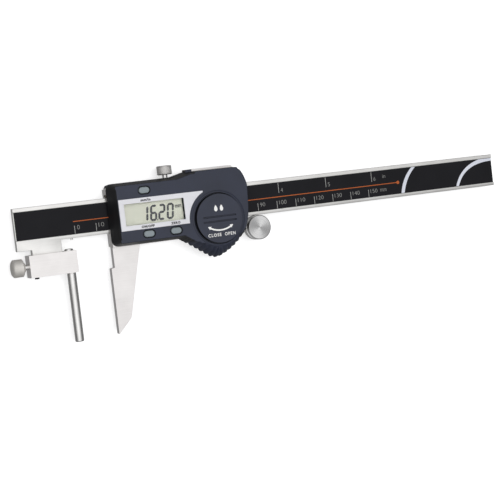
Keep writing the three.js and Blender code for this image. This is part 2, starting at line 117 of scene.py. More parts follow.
def mesh_piece(name, points, faces, sharp=35):
    """An object from points in drawing millimetres, its doubles merged and its faces turned outwards."""
    mesh = bpy.data.meshes.new(name)
    mesh.from_pydata(metres(points).tolist(), [], faces)
    made = bmesh.new()
    made.from_mesh(mesh)
    bmesh.ops.remove_doubles(made, verts=made.verts, dist=0.002 * MM)
    bmesh.ops.dissolve_degenerate(made, edges=made.edges, dist=0.001 * MM)
    bmesh.ops.recalc_face_normals(made, faces=made.faces)
    made.to_mesh(mesh)
    made.free()
    return shown(name, mesh, sharp)


def shown(name, mesh, sharp=35):
    """Links a finished mesh, shaded smooth except along edges sharper than this many degrees."""
    mesh.shade_smooth()
    mesh.set_sharp_from_angle(angle=math.radians(sharp))
    piece = bpy.data.objects.new(name, mesh)
    bpy.context.scene.collection.objects.link(piece)
    return piece


print("faces in a grid of 3 rings of 4 points:", len(grid_faces(3, 4)))

# %% Stacks and turned profiles


def stacked(name, rings, sharp=35):
    """A closed solid through rings of points (rings, columns, 3), with a flat face on each end."""
    rings = np.asarray(rings, float)
    count, columns = rings.shape[:2]
    ends = [list(range(columns))[::-1], [(count - 1) * columns + i for i in range(columns)]]
    return mesh_piece(name, rings.reshape(-1, 3), grid_faces(count, columns) + ends, sharp)


def turned(name, profile, centre, axis="Z", sides=96, dent=None, sharp=35):
    """A profile of (radius, height) turned about an axis through centre: each point is the centre, plus the
    radius times the cosine and sine of its angle, plus its height along the axis. dent(angle, height,
    radius) is taken off the radius. A profile starts and ends on the axis, or closes on itself."""
    profile = np.asarray(profile, float)
    angle = np.linspace(0, 2 * np.pi, sides, endpoint=False)[None, :]
    radius, height = profile[:, :1] + 0 * angle, profile[:, 1:] + 0 * angle
    if dent is not None:
        radius = np.where(radius > 0, radius - dent(angle, height, radius), 0)
    across, up = radius * np.cos(angle), radius * np.sin(angle)
    order = {"Z": (across, up, height), "Y": (up, height, across), "X": (height, across, up)}[axis]
    points = np.stack(order, axis=-1) + np.asarray(centre, float)
    faces = grid_faces(len(profile), sides)
    if profile[0, 0] > 0:  # a ring: its last turn joins its first
        last = (len(profile) - 1) * sides
        faces += [[last + i, last + (i + 1) % sides, (i + 1) % sides, i] for i in range(sides)]
    return mesh_piece(name, points.reshape(-1, 3), faces, sharp)


print("CAD nodes to work from:", len(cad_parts))

# %% [markdown]
# ## Outlines
# Most flat parts are an outline carried through their thickness. An outline is a list of points in order,
# and its inset version moves every point inwards along its own normal, which rounds or slopes an edge.

# %% Outlines and insets


def arc_points(x, y, radius, start, stop, count=24):
    """Points on a circle, from one angle to another, in degrees."""
    angle = np.radians(np.linspace(start, stop, count))
    return np.stack([x + radius * np.cos(angle), y + radius * np.sin(angle)], axis=-1)


def bend_points(start, middle, stop, count=24):
    """A bend from start to stop, drawn towards middle: (1-t)^2, 2t(1-t) and t^2 parts of the three."""
    t = np.linspace(0, 1, count)[:, None]
    start, middle, stop = (np.asarray(p, float) for p in (start, middle, stop))
    return (1 - t) ** 2 * start + 2 * t * (1 - t) * middle + t**2 * stop


def even(points, step):
    """The same closed outline with its points an equal step apart."""
    loop = np.vstack([points, points[:1]])
    length = np.concatenate([[0], np.cumsum(np.linalg.norm(np.diff(loop, axis=0), axis=1))])
    keep = np.concatenate([[True], np.diff(length) > 1e-9])
    where = np.linspace(0, length[-1], int(length[-1] / step), endpoint=False)
    return np.stack([np.interp(where, length[keep], loop[keep, i]) for i in (0, 1)], axis=-1)


def inward(outline):
    """The unit normal at each point of a closed outline that runs anticlockwise, pointing inwards."""
    along = np.roll(outline, -1, axis=0) - np.roll(outline, 1, axis=0)
    normal = np.stack([-along[:, 1], along[:, 0]], axis=-1)
    return normal / np.linalg.norm(normal, axis=1, keepdims=True)


def inset_rings(outline, profile):
    """One ring per (inset, height) pair of the profile, each the outline moved inwards by that inset."""
    normal = inward(outline)
    rings = [np.column_stack([outline + inset * normal, np.full(len(outline), z)]) for inset, z in profile]
    return np.array(rings)


def stadium_points(x, y, length, height, count=20):
    """A bar with round ends, anticlockwise."""
    reach = (length - height) / 2
    right = arc_points(x + reach, y, height / 2, -90, 90, count)
    left = arc_points(x - reach, y, height / 2, 90, 270, count)
    return np.vstack([right, left])


def rectangle_points(left, right, bottom, top):
    return np.array([[left, bottom], [right, bottom], [right, top], [left, top]], float)


print("points in a quarter round:", len(arc_points(0, 0, 1, 0, 90)))

# %% [markdown]
# ## Cutting and joining
# A moulding has pockets, wells and holes. The sure way to make them is to cut one closed solid with
# another, and to keep only the result. The cutting tools are removed from the file afterwards.

# %% Cut and join closed solids


def worked(piece, steps, sharp=35):
    """The piece after each (operation, tool) step in turn, as a new mesh. The tools are thrown away."""
    for number, (operation, tool) in enumerate(steps):
        change = piece.modifiers.new(f"step {number}", "BOOLEAN")
        change.operation = operation
        change.solver = "MANIFOLD"
        change.object = tool
    bpy.context.view_layer.update()
    final = bpy.data.meshes.new_from_object(piece.evaluated_get(bpy.context.evaluated_depsgraph_get()))
    name = piece.name
    for old in [piece, *[tool for _, tool in steps]]:
        bpy.data.objects.remove(old)
    return shown(name, final, sharp)


def softened(name, node_name, width, sharp=20, segments=2):
    """A copy of a CAD node, its flat faces made whole and its sharp edges rounded by this width in mm."""
    made = bmesh.new()
    made.from_mesh(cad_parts[node_name].data)
    bmesh.ops.remove_doubles(made, verts=made.verts, dist=0.002 * MM)
    bmesh.ops.dissolve_limit(
        made, angle_limit=math.radians(1), verts=made.verts, edges=made.edges, delimit={"NORMAL"}
    )
    edges = [e for e in made.edges if len(e.link_faces) == 2 and e.calc_face_angle(0) > math.radians(32)]
    size = {"offset": width * MM, "segments": segments, "profile": 0.5}
    bmesh.ops.bevel(made, geom=edges, affect="EDGES", clamp_overlap=True, **size)
    mesh = bpy.data.meshes.new(name)
    made.to_mesh(mesh)
    made.free()
    return shown(name, mesh, sharp)


print("helpers ready: worked() and softened()")

# %% [markdown]
# ## Materials
# Each finish starts from what the real one is made of and how its surface was worked. Patterns are laid out
# in the CAD frame's own metres, so a scratch or a grain is as large as a real one.

# %% Colours and nodes


def linear(code):
    """An sRGB hex colour as the linear values that a shader works with."""
    srgb = np.array([int(code[i : i + 2], 16) for i in (0, 2, 4)]) / 255
    value = np.where(srgb <= 0.04045, srgb / 12.92, ((srgb + 0.055) / 1.055) ** 2.4)
    return (*value.tolist(), 1.0)


def node(owner, kind, inputs=None, **settings):
    """Adds a shader node with its settings. An input is a value, or another node's output to link."""
    tree = owner.node_tree
    made = tree.nodes.new(kind)
    for key, value in settings.items():
        setattr(made, key, value)
    for key, value in (inputs or {}).items():
        if isinstance(value, bpy.types.NodeSocket):
            tree.links.new(value, made.inputs[key])
        else:
            made.inputs[key].default_value = value
    return made


def new_material(name):
    """An empty node material, its Principled shader and its Object coordinates."""
    material = bpy.data.materials.new(name)
    material.use_nodes = True
    shader = material.node_tree.nodes["Principled BSDF"]
    return material, shader, node(material, "ShaderNodeTexCoord").outputs["Object"]


print("mid grey as a linear value:", round(linear("808080")[0], 3))

# %% One recipe for a finish
NOISE_RANGE = {"From Min": 0.3, "From Max": 0.7}  # nearly all of a noise lies between these


def dress(material, shader, shade, grain, colours, rough, depth_mm, strength):
    """Two patterns drive the shader: shade picks a colour between the dark and the light one, and grain
    sets the roughness and raises the surface."""
    share = node(material, "ShaderNodeMapRange", {"Value": shade, **NOISE_RANGE}).outputs["Result"]
    mix = {0: share, 6: linear(colours[0]), 7: linear(colours[1])}
    spread = {"Value": grain, **NOISE_RANGE, "To Min": rough[0], "To Max": rough[1]}
    lift = {"Height": grain, "Distance": depth_mm * MM, "Strength": strength}
    driven = {
        "Base Color": node(material, "ShaderNodeMix", mix, data_type="RGBA").outputs[2],
        "Roughness": node(material, "ShaderNodeMapRange", spread).outputs["Result"],
        "Normal": node(material, "ShaderNodeBump", lift).outputs["Normal"],
    }
    for socket, value in driven.items():
        material.node_tree.links.new(value, shader.inputs[socket])


def finish(
    name, colours, rough, grain_mm, depth_mm, constants, detail=3.0, bite=0.55, patch_mm=16, strength=0.7
):
    """One finish: a grain of grain_mm along X, Y and Z, over patches of patch_mm that tint it softly, or
    without patches when patch_mm is 0. The constants are set on the shader's own sockets."""
    material, shader, place = new_material(name)
    patterns = []
    for size_mm, octaves, harsh in ((grain_mm, detail, bite), ((patch_mm,) * 3, 2.0, 0.55)):
        if not all(size_mm):
            continue
        scale = tuple(1 / (size * MM) for size in size_mm)
        at = node(material, "ShaderNodeMapping", {"Vector": place, "Scale": scale}).outputs["Vector"]
        noise = {"Vector": at, "Scale": 1.0, "Detail": octaves, "Roughness": harsh}
        patterns.append(node(material, "ShaderNodeTexNoise", noise).outputs["Fac"])
    shade = patterns[0]
    if patch_mm:
        both = {0: patterns[0], 1: patterns[1]}
        total = node(material, "ShaderNodeMath", both, operation="ADD").outputs[0]
        shade = node(material, "ShaderNodeMath", {0: total, 1: 0.5}, operation="MULTIPLY").outputs[0]
    dress(material, shader, shade, patterns[0], colours, rough, depth_mm, strength)
    for socket, value in constants.items():
        shader.inputs[socket].default_value = value
    return material


print("a noise runs between:", tuple(NOISE_RANGE.values()))

# %% [markdown]
# ### Steel
# The beam, the slider and the jaw are hardened stainless steel, ground flat. A grinding wheel leaves fine
# straight lines, which blur reflections along one direction. Real lines are a few hundredths of a
# millimetre wide, too fine to see at arm's length, so they are drawn about ten times as coarse.

# %% Steel finishes
METAL = {"Metallic": 1.0}
LINES = {"detail": 4.0, "bite": 0.7, "patch_mm": 9, "strength": 0.6}

# Lines along the beam: its long edges look streaked and stay bright from end to end.
STEEL_ALONG = finish(
    "stainless steel, ground along the beam", ("e3e2df", "f8f7f4"), (0.28, 0.42), (9, 0.32, 0.32), 0.02,
    METAL, **LINES
)
# Longer and fainter lines: the jaw and the block look almost white, with a soft grain across them.
STEEL_JAW = finish(
    "stainless steel, ground jaw", ("e6e3e1", "f7f4f2"), (0.3, 0.4), (14, 0.5, 0.5), 0.015, METAL, **LINES
)
# Lines across the beam: the end stop looks greyer than the beam it sits on.
STEEL_BRUSHED_UP = finish(
    "stainless steel, brushed across", ("b9b9b8", "dededc"), (0.3, 0.45), (0.3, 6, 0.3), 0.02,
    METAL, **LINES
)
# Almost a mirror: a bright band runs down the rod between two dark edges.
STEEL_POLISHED = finish(
    "hardened steel, polished", ("d6d5d3", "eeedeb"), (0.2, 0.28), (0.5, 12, 0.5), 0.004, METAL, **LINES
)
# Satin plating scatters light, so the knob looks pale and warm on every side.
CHROME_SATIN = finish(
    "satin chrome plate, knurled", ("d3d0ca", "e9e6e0"), (0.42, 0.55), (0.7, 0.7, 0.7), 0.01,
    {"Metallic": 0.55}, **LINES
)
# Bare knurled steel: a little darker, with a sparkle on each diamond.
STEEL_KNURLED = finish(
    "stainless steel, diamond knurled", ("c2c0bd", "e2e0dd"), (0.35, 0.5), (0.7, 0.7, 0.7), 0.01,
    {"Metallic": 0.7}, **LINES
)
# Zinc plating: a cooler and duller grey than the ground steel round it.
STEEL_SCREW = finish(
    "plated steel screw", ("a9aaac", "cfd0d2"), (0.25, 0.4), (0.6, 0.6, 0.6), 0.006, METAL, **LINES
)
# Milled brass: a dull yellow that sets the hidden contacts off from the steel.
BRASS = finish("brass, milled", ("a98a48", "d0b36d"), (0.3, 0.45), (4, 0.4, 0.4), 0.01, METAL, **LINES)
# Chemically blackened and oiled: nearly black, with a faint mottle and a soft gloss.
BLACK_STEEL = finish(
    "blackened steel", ("1b1b1d", "2c2c2f"), (0.38, 0.55), (0.8, 0.8, 0.8), 0.01,
    {"Metallic": 0.7}, detail=4.0, patch_mm=0, strength=0.5
)
print("steel and brass finishes:", len(bpy.data.materials))

# %% [markdown]
# ### Plastics, rubber and film
# The housing is ABS from a mould whose steel was etched by sparks. That leaves a fine even grain that takes
# the shine off. The label and the display panel are printed plastic films, smoother than the housing.
# The buttons are silicone rubber.

# %% Plastic finishes


def darker_sides(material, dark):
    """Paints shade on the steep side walls: there the plastic's colour is mixed towards a dark one.
    How much shade a face gets comes from a face attribute that mark_sides writes on the mesh."""
    shader = material.node_tree.nodes["Principled BSDF"]
    face_colour = shader.inputs["Base Color"].links[0].from_socket
    side = node(material, "ShaderNodeAttribute", attribute_name="painted_side_shade").outputs["Fac"]
    mix = node(material, "ShaderNodeMix", {0: side, 6: face_colour, 7: linear(dark)}, data_type="RGBA")
    material.node_tree.links.new(mix.outputs[2], shader.inputs["Base Color"])


def plastic(name, colours, rough, grain_mm, depth_mm, constants=None):
    """A moulded or printed plastic: the same grain along X, Y and Z."""
    return finish(name, colours, rough, (grain_mm,) * 3, depth_mm, constants or {})


# Spark-eroded ABS: an even slate face without a highlight, with painted shade that makes its sides almost
# black.
HOUSING = plastic("ABS, spark-eroded mould, slate", ("242834", "2f3446"), (0.42, 0.55), 0.35, 0.03)
COVER = plastic("ABS, spark-eroded mould, slate cover", ("252935", "303547"), (0.4, 0.52), 0.35, 0.03)
# Painted shade: both plastics are darkened on their steep side walls.
darker_sides(HOUSING, "0b0c10")
darker_sides(COVER, "0b0c10")
# Matt film: black that stays black when it faces the light.
LABEL = plastic(
    "printed film, black", ("131316", "1b1b1f"), (0.42, 0.52), 0.5, 0.003, {"Specular IOR Level": 0.15}
)
# Pearl ink under a thin lacquer: a pale panel with a faint violet cast.
BEZEL = plastic(
    "printed film, pearl silver", ("dcdce1", "e6e6ea"), (0.3, 0.42), 0.25, 0.003,
    {"Coat Weight": 0.2, "Coat Roughness": 0.15}
)
# A reflective liquid crystal panel: flat grey-green, brighter than the digits on it.
PANEL = plastic("liquid crystal panel, reflective grey", ("d0d3c1", "dadccb"), (0.2, 0.3), 6.0, 0.001)
# The crystal's dark state: soft blue-black bars, not quite black.
SEGMENT = plastic("liquid crystal, switched on", ("26292b", "33373a"), (0.3, 0.4), 0.6, 0.001)
# Silicone: blue-grey, dull, and a little lighter on its crown.
BUTTON = plastic("silicone rubber, grey", ("7f898d", "929ca0"), (0.55, 0.7), 0.3, 0.01)
# Nitrile: the dullest black of all, which hides in the gaps.
RUBBER = plastic(
    "nitrile rubber, black", ("101012", "1b1b1d"), (0.6, 0.8), 0.4, 0.02, {"Specular IOR Level": 0.3}
)
# Solder mask over glass fibre: green, with a low gloss.
BOARD = plastic("epoxy board, green solder mask", ("123f26", "1e5c38"), (0.3, 0.45), 0.6, 0.01)
print("finishes so far:", len(bpy.data.materials))

# %% Inks and the window
# Screen inks: flat colours, a shade duller than what they are printed on.
INK_WHITE = plastic("screen ink, white", ("eeeeeb", "fbfbf9"), (0.45, 0.6), 0.3, 0.002)
INK_LIGHT = plastic("screen ink, light grey", ("a3a3a0", "b9b9b6"), (0.45, 0.6), 0.3, 0.002)
INK_GREY = plastic("screen ink, grey", ("82827f", "949491"), (0.45, 0.6), 0.3, 0.002)
INK_DARK = plastic("screen ink, near black", ("0c0c0e", "151518"), (0.45, 0.6), 0.3, 0.002)
INK_ORANGE = plastic("screen ink, burnt orange", ("a44c14", "bc5f20"), (0.45, 0.6), 0.3, 0.002)
# Metal flakes in the ink give the two arcs a cool sheen.
INK_SILVER = plastic(
    "screen ink, silver", ("cfd3de", "e6e9f2"), (0.25, 0.35), 0.3, 0.002, {"Metallic": 0.2}
)
# Polished acrylic: clear, with the faint softness that wiping gives it. Its IOR is set below acrylic's
# 1.49, so that the panel under it keeps its own brightness.
WINDOW = finish(
    "acrylic window, polished", ("ffffff", "ffffff"), (0.01, 0.05), (3, 0.6, 0.6), 0.0,
    {"Transmission Weight": 1.0, "IOR": 1.12}, detail=2.0, patch_mm=0
)
print("finishes in all:", len(bpy.data.materials))

# %% [markdown]
# ## Steel plates with soft edges
# A ground part never has a perfectly sharp edge: it is broken with a stone, so that it doesn't cut the
# hand. That narrow rounded edge catches the light and outlines the part. It could be modelled by hand, but
# a bevel finds every edge by itself. So each plate is a copy of its CAD node with its edges rounded by one
# to three tenths of a millimetre.

# %% Finish, place and hand over a piece


def finished(piece, body, material, replaces=()):
    """Gives a piece its material, the body it moves with and the CAD nodes it stands for."""
    piece.data.materials.clear()
    piece.data.materials.append(material)
    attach(piece, body)
    if replaces:
        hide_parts(*replaces)
    return piece


BEZEL_TIP = 59.75  # the bezel's thin upper tip is cut off square here
SOFT_PLATES = [
    # CAD node, body, material, slot, edge in mm
    ("beam", "beam", STEEL_ALONG, "stainless_steel", 0.22),
    ("anvil_block", "beam", STEEL_JAW, "stainless_steel", 0.25),
    ("end_stop_plate", "beam", STEEL_BRUSHED_UP, "stainless_steel", 0.15),
    ("slider_frame", "slider", STEEL_JAW, "stainless_steel", 0.14),
    ("back_plate", "slider", STEEL_ALONG, "stainless_steel", 0.3),
    ("roller_bracket", "slider", BLACK_STEEL, "blackened_steel", 0.2),
    ("display_bezel", "slider", BEZEL, "bezel_silver", 0.1),
]
for node_name, body, material, slot, edge in SOFT_PLATES:
    plate = softened(node_name + "_soft", node_name, edge)
    if node_name == "display_bezel":
        tip = stacked("tool", inset_rings(rectangle_points(BEZEL_TIP, 70, 0, 10), [(0, 0), (0, 20)]))
        plate = worked(plate, [("DIFFERENCE", tip)], sharp=20)
    finished(plate, body, material, [node_name])
    print(plate.name, len(plate.data.vertices), "points")

# %% [markdown]
# ## CAD parts that keep their own shape
# Pins, screws inside holes, switches and boards are simple solids that are small or hidden. A softer copy
# wouldn't show, so each takes only a material, in its own material slots. The clear window is one of
# them: its shape is a flat plate, and all that the eye gets from it is a faint gloss.

# %% Finishes of the CAD parts
NODE_FINISHES = {
    STEEL_POLISHED: "anvil_rod zero_stop_pin roller_axle clamp_screw lock_screw battery_cell",
    STEEL_SCREW: "housing_screw_1 housing_screw_2 housing_screw_3",
    BLACK_STEEL: "block_set_screw gib_screw_1 gib_screw_2",
    BRASS: "gib_strip lock_pad switch_units switch_power switch_zero battery_contact_negative "
    "battery_contact_positive",
    RUBBER: "wiper_left wiper_right lcd_holder lcd_connector_upper lcd_connector_lower battery_seal_ring",
    BOARD: "scale_stator main_board sensor_board",
    LABEL: "scale_label",
    PANEL: "lcd_glass",
    WINDOW: "display_window",
}
for material, names in NODE_FINISHES.items():
    for name in names.split():
        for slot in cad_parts[name].material_slots:
            slot.material = material
print("CAD nodes finished:", sum(len(names.split()) for names in NODE_FINISHES.values()))

# %% [markdown]
# ## The scale
# The scale is printed on the black film in the beam's shallow channel: millimetre marks each ten from the
# lower edge, inch marks from the upper edge, an orange line along the middle, and two plain silver arcs
# past the end of the travel. Screen ink stands a few hundredths of a millimetre proud, so each mark is a
# very thin solid. The numbers are plain sans-serif type.

# %% Flat printed shapes
label_low, label_high = drawn_box("scale_label")
INK = 0.02  # thickness of a layer of ink
LABEL_TOP = label_high[2]
print("label, mm:", np.round(label_high - label_low, 2))


def printed_bars(name, bars, base, body, material, thickness=INK):
    """Thin bars, one for each (left, right, bottom, top): the eight corners of all the boxes at once."""
    bars = np.asarray(bars, float)
    left, right, bottom, top = bars.T
    low, high = np.full(len(bars), base), np.full(len(bars), base + thickness)
    ring = [(left, bottom), (right, bottom), (right, top), (left, top)]
    corners = [(x, y, z) for z in (low, high) for x, y in ring]
    points = np.array([np.stack(corner, axis=-1) for corner in corners]).transpose(1, 0, 2)
    box = np.array([[0, 3, 2, 1], [4, 5, 6, 7], [0, 1, 5, 4], [1, 2, 6, 5], [2, 3, 7, 6], [3, 0, 4, 7]])
    faces = (np.arange(len(bars))[:, None, None] * 8 + box[None]).reshape(-1, 4).tolist()
    piece = mesh_piece(name, points.reshape(-1, 3), faces)
    return finished(piece, body, material)


def printed_outline(name, outline, base, body, material, thickness=INK):
    """One flat printed shape: its outline at the bottom and at the top of the ink."""
    ring = inset_rings(np.asarray(outline, float), [(0, base), (0, base + thickness)])
    return finished(stacked(name, ring), body, material)


def printed_words(name, words, base, body, material, thickness=INK, weight=0.0, gap=1.0):
    """Plain type as thin solids, one for each (text, x, y, height, width): x and y are the middle."""
    parts = []
    for text, x, y, height, width in words:
        curve = bpy.data.curves.new(name, "FONT")
        curve.body = text
        curve.extrude = thickness / 2
        curve.offset = weight
        curve.space_character = gap
        curve.resolution_u = 3
        holder = bpy.data.objects.new(name, curve)
        bpy.context.scene.collection.objects.link(holder)
        bpy.context.view_layer.update()
        mesh = bpy.data.meshes.new_from_object(holder.evaluated_get(bpy.context.evaluated_depsgraph_get()))
        points = np.empty(len(mesh.vertices) * 3)
        mesh.vertices.foreach_get("co", points)
        points = points.reshape(-1, 3)
        low, high = points.min(axis=0), points.max(axis=0)
        size = np.array([width / (high[0] - low[0]), height / (high[1] - low[1]), 1.0])
        points = (points - (low + high) / 2) * size + (x, y, base + thickness / 2)
        parts.append((points, [list(p.vertices) for p in mesh.polygons]))
        bpy.data.objects.remove(holder)
        bpy.data.meshes.remove(mesh)
    starts = np.cumsum([0] + [len(points) for points, _ in parts])
    faces = [[i + start for i in face] for start, (_, found) in zip(starts, parts) for face in found]
    piece = mesh_piece(name, np.vstack([points for points, _ in parts]), faces)
    return finished(piece, body, material)


# %% [markdown]
# ### What is printed on the scale
# A long mark stands at every ten millimetres and at every inch, with its number to the right of it. Marks
# and numbers are laid out by a loop over the values, as the printer's drawing would give them. The arcs
# are outlines that bend from one edge of the film to the other.

# %% Marks, numbers and lines of the scale
INCH = 25.4
MARK = 0.2  # width of a mark
MM_MARK_TOP = label_low[1] + 3.7
INCH_MARK_BOTTOM = label_high[1] - 5.0
EDGE_GAP = 0.1  # a mark stops this far from the film's edge
metric = np.arange(0, 151, 10)
inches = np.arange(1, 7) * INCH
marks = [(x - MARK / 2, x + MARK / 2, label_low[1] + EDGE_GAP, MM_MARK_TOP) for x in metric]
marks += [(x - MARK / 2, x + MARK / 2, INCH_MARK_BOTTOM, label_high[1] - EDGE_GAP) for x in inches]
printed_bars("scale_marks", marks, LABEL_TOP, "beam", INK_LIGHT)

DIGIT_HEIGHT = 1.9
DIGIT_WIDTH = {1: 1.2, 2: 2.6, 3: 3.85}  # of a number with so many digits
NUMBER_GAP = 1.15
NUMBER_Y = MM_MARK_TOP - DIGIT_HEIGHT / 2 + 0.1
words = []
for value in metric:
    width = DIGIT_WIDTH[len(str(value))]
    words.append((str(value), value + NUMBER_GAP + width / 2, NUMBER_Y, DIGIT_HEIGHT, width))
for number, x in enumerate(inches):
    width = 0.42 if number == 0 else 1.1
    words.append((str(number + 1), x + NUMBER_GAP + 0.5, INCH_MARK_BOTTOM + 1.3, DIGIT_HEIGHT, width))
words.append(("mm", 158.4, NUMBER_Y - 0.1, 1.4, 3.4))
words.append(("in", 159.4, INCH_MARK_BOTTOM + 2.1, 1.7, 1.6))
printed_words("scale_numbers", words, LABEL_TOP, "beam", INK_GREY, weight=-0.012)

print("scale:", len(marks), "marks and", len(words), "words")

# %% Orange line and silver arcs
LINE_MIDDLE, LINE_HALF, LINE_END = -0.7, 0.19, 167.0
DOT_RADIUS = 0.85
line = [(-0.4, LINE_END - 0.5, LINE_MIDDLE - LINE_HALF, LINE_MIDDLE + LINE_HALF)]
dot = arc_points(LINE_END, LINE_MIDDLE, DOT_RADIUS, 0, 345)
printed_bars("scale_line", line, LABEL_TOP, "beam", INK_ORANGE)
printed_outline("scale_line_dot", dot, LABEL_TOP, "beam", INK_ORANGE, INK * 1.2)

low_edge, high_edge = label_low[1] + 0.05, label_high[1] - 0.05
arc_end = label_high[0] - 0.1
first_arc = [
    bend_points((168.5, low_edge), (169.9, 1.2), (175.6, high_edge), 30),
    bend_points((177.8, high_edge), (172.1, 1.3), (170.3, low_edge), 30),
]
second_arc = [
    bend_points((200.8, low_edge), (204.2, 3.4), (215.8, high_edge), 40),
    bend_points((arc_end, high_edge), (arc_end, 5.4), (arc_end, 4.6), 4),
    bend_points((arc_end - 0.2, 4.75), (206.6, 4.5), (202.4, low_edge), 40),
]
for name, arc in (("label_arc_first", first_arc), ("label_arc_second", second_arc)):
    printed_outline(name, np.vstack(arc)[::-1], LABEL_TOP, "beam", INK_SILVER)
print("line, mm long:", LINE_END)

# %% [markdown]
# ## The housing
# The housing is one moulding. Seen from the front its outline is a rounded bar that swells into a round
# belly for the coin cell, with a ribbed rest for the thumb at the bottom. The outline is carried up the side
# wall, which leans in a little so that the moulding leaves its mould, and rolls over into the flat front.
# The ribs are a scallop cut into the outline: inwards by a depth times the absolute sine of the distance
# along the edge, which leaves sharp ridges with round valleys between them.

# %% The outline of the housing
shell_low, _ = drawn_box("housing_shell")
LEFT, TOP, BOTTOM = shell_low[0], 14.05, -14.45
FRONT, REAR = 9.75, 3.05  # heights of the flat face and of the foot of the wall
CORNER = 3.2


def housing_outline(step=0.27):
    """The moulding's front outline, anticlockwise from the lower left corner."""
    belly_low = shell_low[1]
    parts = [
        arc_points(LEFT + CORNER, BOTTOM + CORNER, CORNER, 180, 270, 12),
        [(47.6, BOTTOM), (61.1, belly_low + 1.35)],
        bend_points((61.3, belly_low + 1.2), (64.8, belly_low - 0.9), (68.1, belly_low + 0.8), 10),
        bend_points((68.1, belly_low + 0.8), (75.0, -21.6), (79.4, -16.1), 16),
        bend_points((80.6, -13.3), (82.9, -9.0), (83.2, 0.0), 16),
        bend_points((83.6, 7.0), (82.6, 12.0), (80.6, 14.7), 12),
        bend_points((80.6, 14.7), (80.0, 15.7), (78.2, 15.9), 6),
        [(54.4, 15.9), (47.4, TOP + 0.15)],
        arc_points(LEFT + CORNER, TOP - CORNER, CORNER, 90, 180, 12),
    ]
    return even(np.vstack(parts), step)


def share_between(outline, start, stop, fade):
    """How far each point belongs to the stretch between two places on the outline: 0 outside, 1 inside."""
    along = np.concatenate([[0], np.cumsum(np.linalg.norm(np.diff(outline, axis=0), axis=1))])
    first, last = (along[np.argmin(np.linalg.norm(outline - p, axis=1))] for p in (start, stop))
    share = np.clip((along - first) / fade, 0, 1) * np.clip((last - along) / fade, 0, 1)
    return share, along - first


def roll(depth, rise, count=7):
    """A quarter round from a wall to a face, as (inset, height) pairs measured from the wall's top."""
    turn = np.linspace(0, np.pi / 2, count)
    return [(depth * (1 - math.cos(t)), rise * math.sin(t)) for t in turn]


smooth_line = housing_outline()
print("housing outline:", len(smooth_line), "points round")

# %% The housing's wall, round and ribs
normal = inward(smooth_line)
grip, grip_run = share_between(smooth_line, (49.4, -15.8), (79.0, -15.8), 1.0)
belly, _ = share_between(smooth_line, (52.5, -17.8), (80.6, -13.0), 12.0)
under_crest, _ = share_between(smooth_line, (79.0, 15.6), (56.5, 15.9), 1.0)

# The side wall leans in and rounds over, most of all on the left, where it reaches the display. Along the
# thumb rest it rounds much further into the face, and below the steel crest it stands almost straight.
EDGE = 0.35  # the small round at the front edge
LEAN = 1.3  # of the wall, from its foot to that round
BELLY_ROUND = 4.3  # how far the belly rounds over into the face
BELLY_FOOT = 5.0  # the height at which that starts
bezel_low, bezel_high = drawn_box("display_bezel")
left_lean = bezel_low[0] - 0.12 - EDGE - LEFT
print("lean of the left wall, mm:", round(left_lean, 2))
side = [(0.0, REAR), (0.35 * LEAN, 5.5), (0.75 * LEAN, 8.0), (LEAN, FRONT - EDGE)]
profile = side + [(LEAN + inset, FRONT - EDGE + up) for inset, up in roll(EDGE, EDGE)[1:]]
profile += [(LEAN + EDGE + 0.06, FRONT)]  # keeps the face's own shading flat
insets, heights = np.array(profile).T
rise = np.clip((heights - BELLY_FOOT) / (FRONT - BELLY_FOOT), 0, 1)
extra = BELLY_ROUND * (1 - np.sqrt(1 - 0.98 * rise**2))
weight = 1 - 0.7 * under_crest + (left_lean / LEAN - 1) * np.clip(normal[:, 0], 0, 1) ** 2
depth = insets[:, None] * weight[None] + extra[:, None] * belly[None]

# The ribs are scallops along the thumb rest. They run up over the round, and out at the face.
RIB_PITCH = 2.75
RIB_DEPTH = 0.7
scallop = RIB_DEPTH * grip * (1 - np.abs(np.sin(np.pi * grip_run / RIB_PITCH)))
fade = np.clip((FRONT - heights) / 0.35, 0, 1)
depth += fade[:, None] * scallop[None]
flat = smooth_line[None] + depth[:, :, None] * normal[None]
outer = np.concatenate([flat, np.broadcast_to(heights[:, None, None], flat.shape[:2] + (1,))], axis=2)
housing = stacked("housing", outer, sharp=28)
print("housing wall:", len(profile), "rings,", round(insets[-1], 2), "mm in at the face")

# %% [markdown]
# ### Pockets, wells and lips
# Inside, the housing is hollow with an even wall, as a moulding has to be so that it cools without sinking.
# Each pocket, well and screw boss is a simple closed tool, and the list of steps joins or cuts them in
# order. The order matters: the wall is hollowed out before the bosses are put into it.

# %% Tools that cut and fill the housing
cover_low, cover_high = drawn_box("battery_cover")
CELL_X, CELL_Y = (cover_low[:2] + cover_high[:2]) / 2
COVER_RADIUS = (cover_high[0] - cover_low[0]) / 2
COVER_TOP = cover_high[2]
window_low, window_high = drawn_box("display_window")
BUTTON_BODIES = {
    "button_units": "units_button",
    "button_power": "power_button",
    "button_zero": "zero_button",
}
BUTTON_SIZE = (5.05, 2.8)


def plate_of(outline, rear, front):
    """A cutting tool: an outline carried from one height to another."""
    return stacked("tool", inset_rings(np.asarray(outline, float), [(0, rear), (0, front)]))


def ring_tool(profile, x=CELL_X, y=CELL_Y):
    """A cutting tool: a profile turned about an upright axis, which is the coin cell's own at first."""
    return turned("tool", profile, (x, y, 0), sides=120)


def middle(node_name):
    low, high = drawn_box(node_name)
    return (low + high) / 2


print("cover, mm across:", round(2 * COVER_RADIUS, 2))

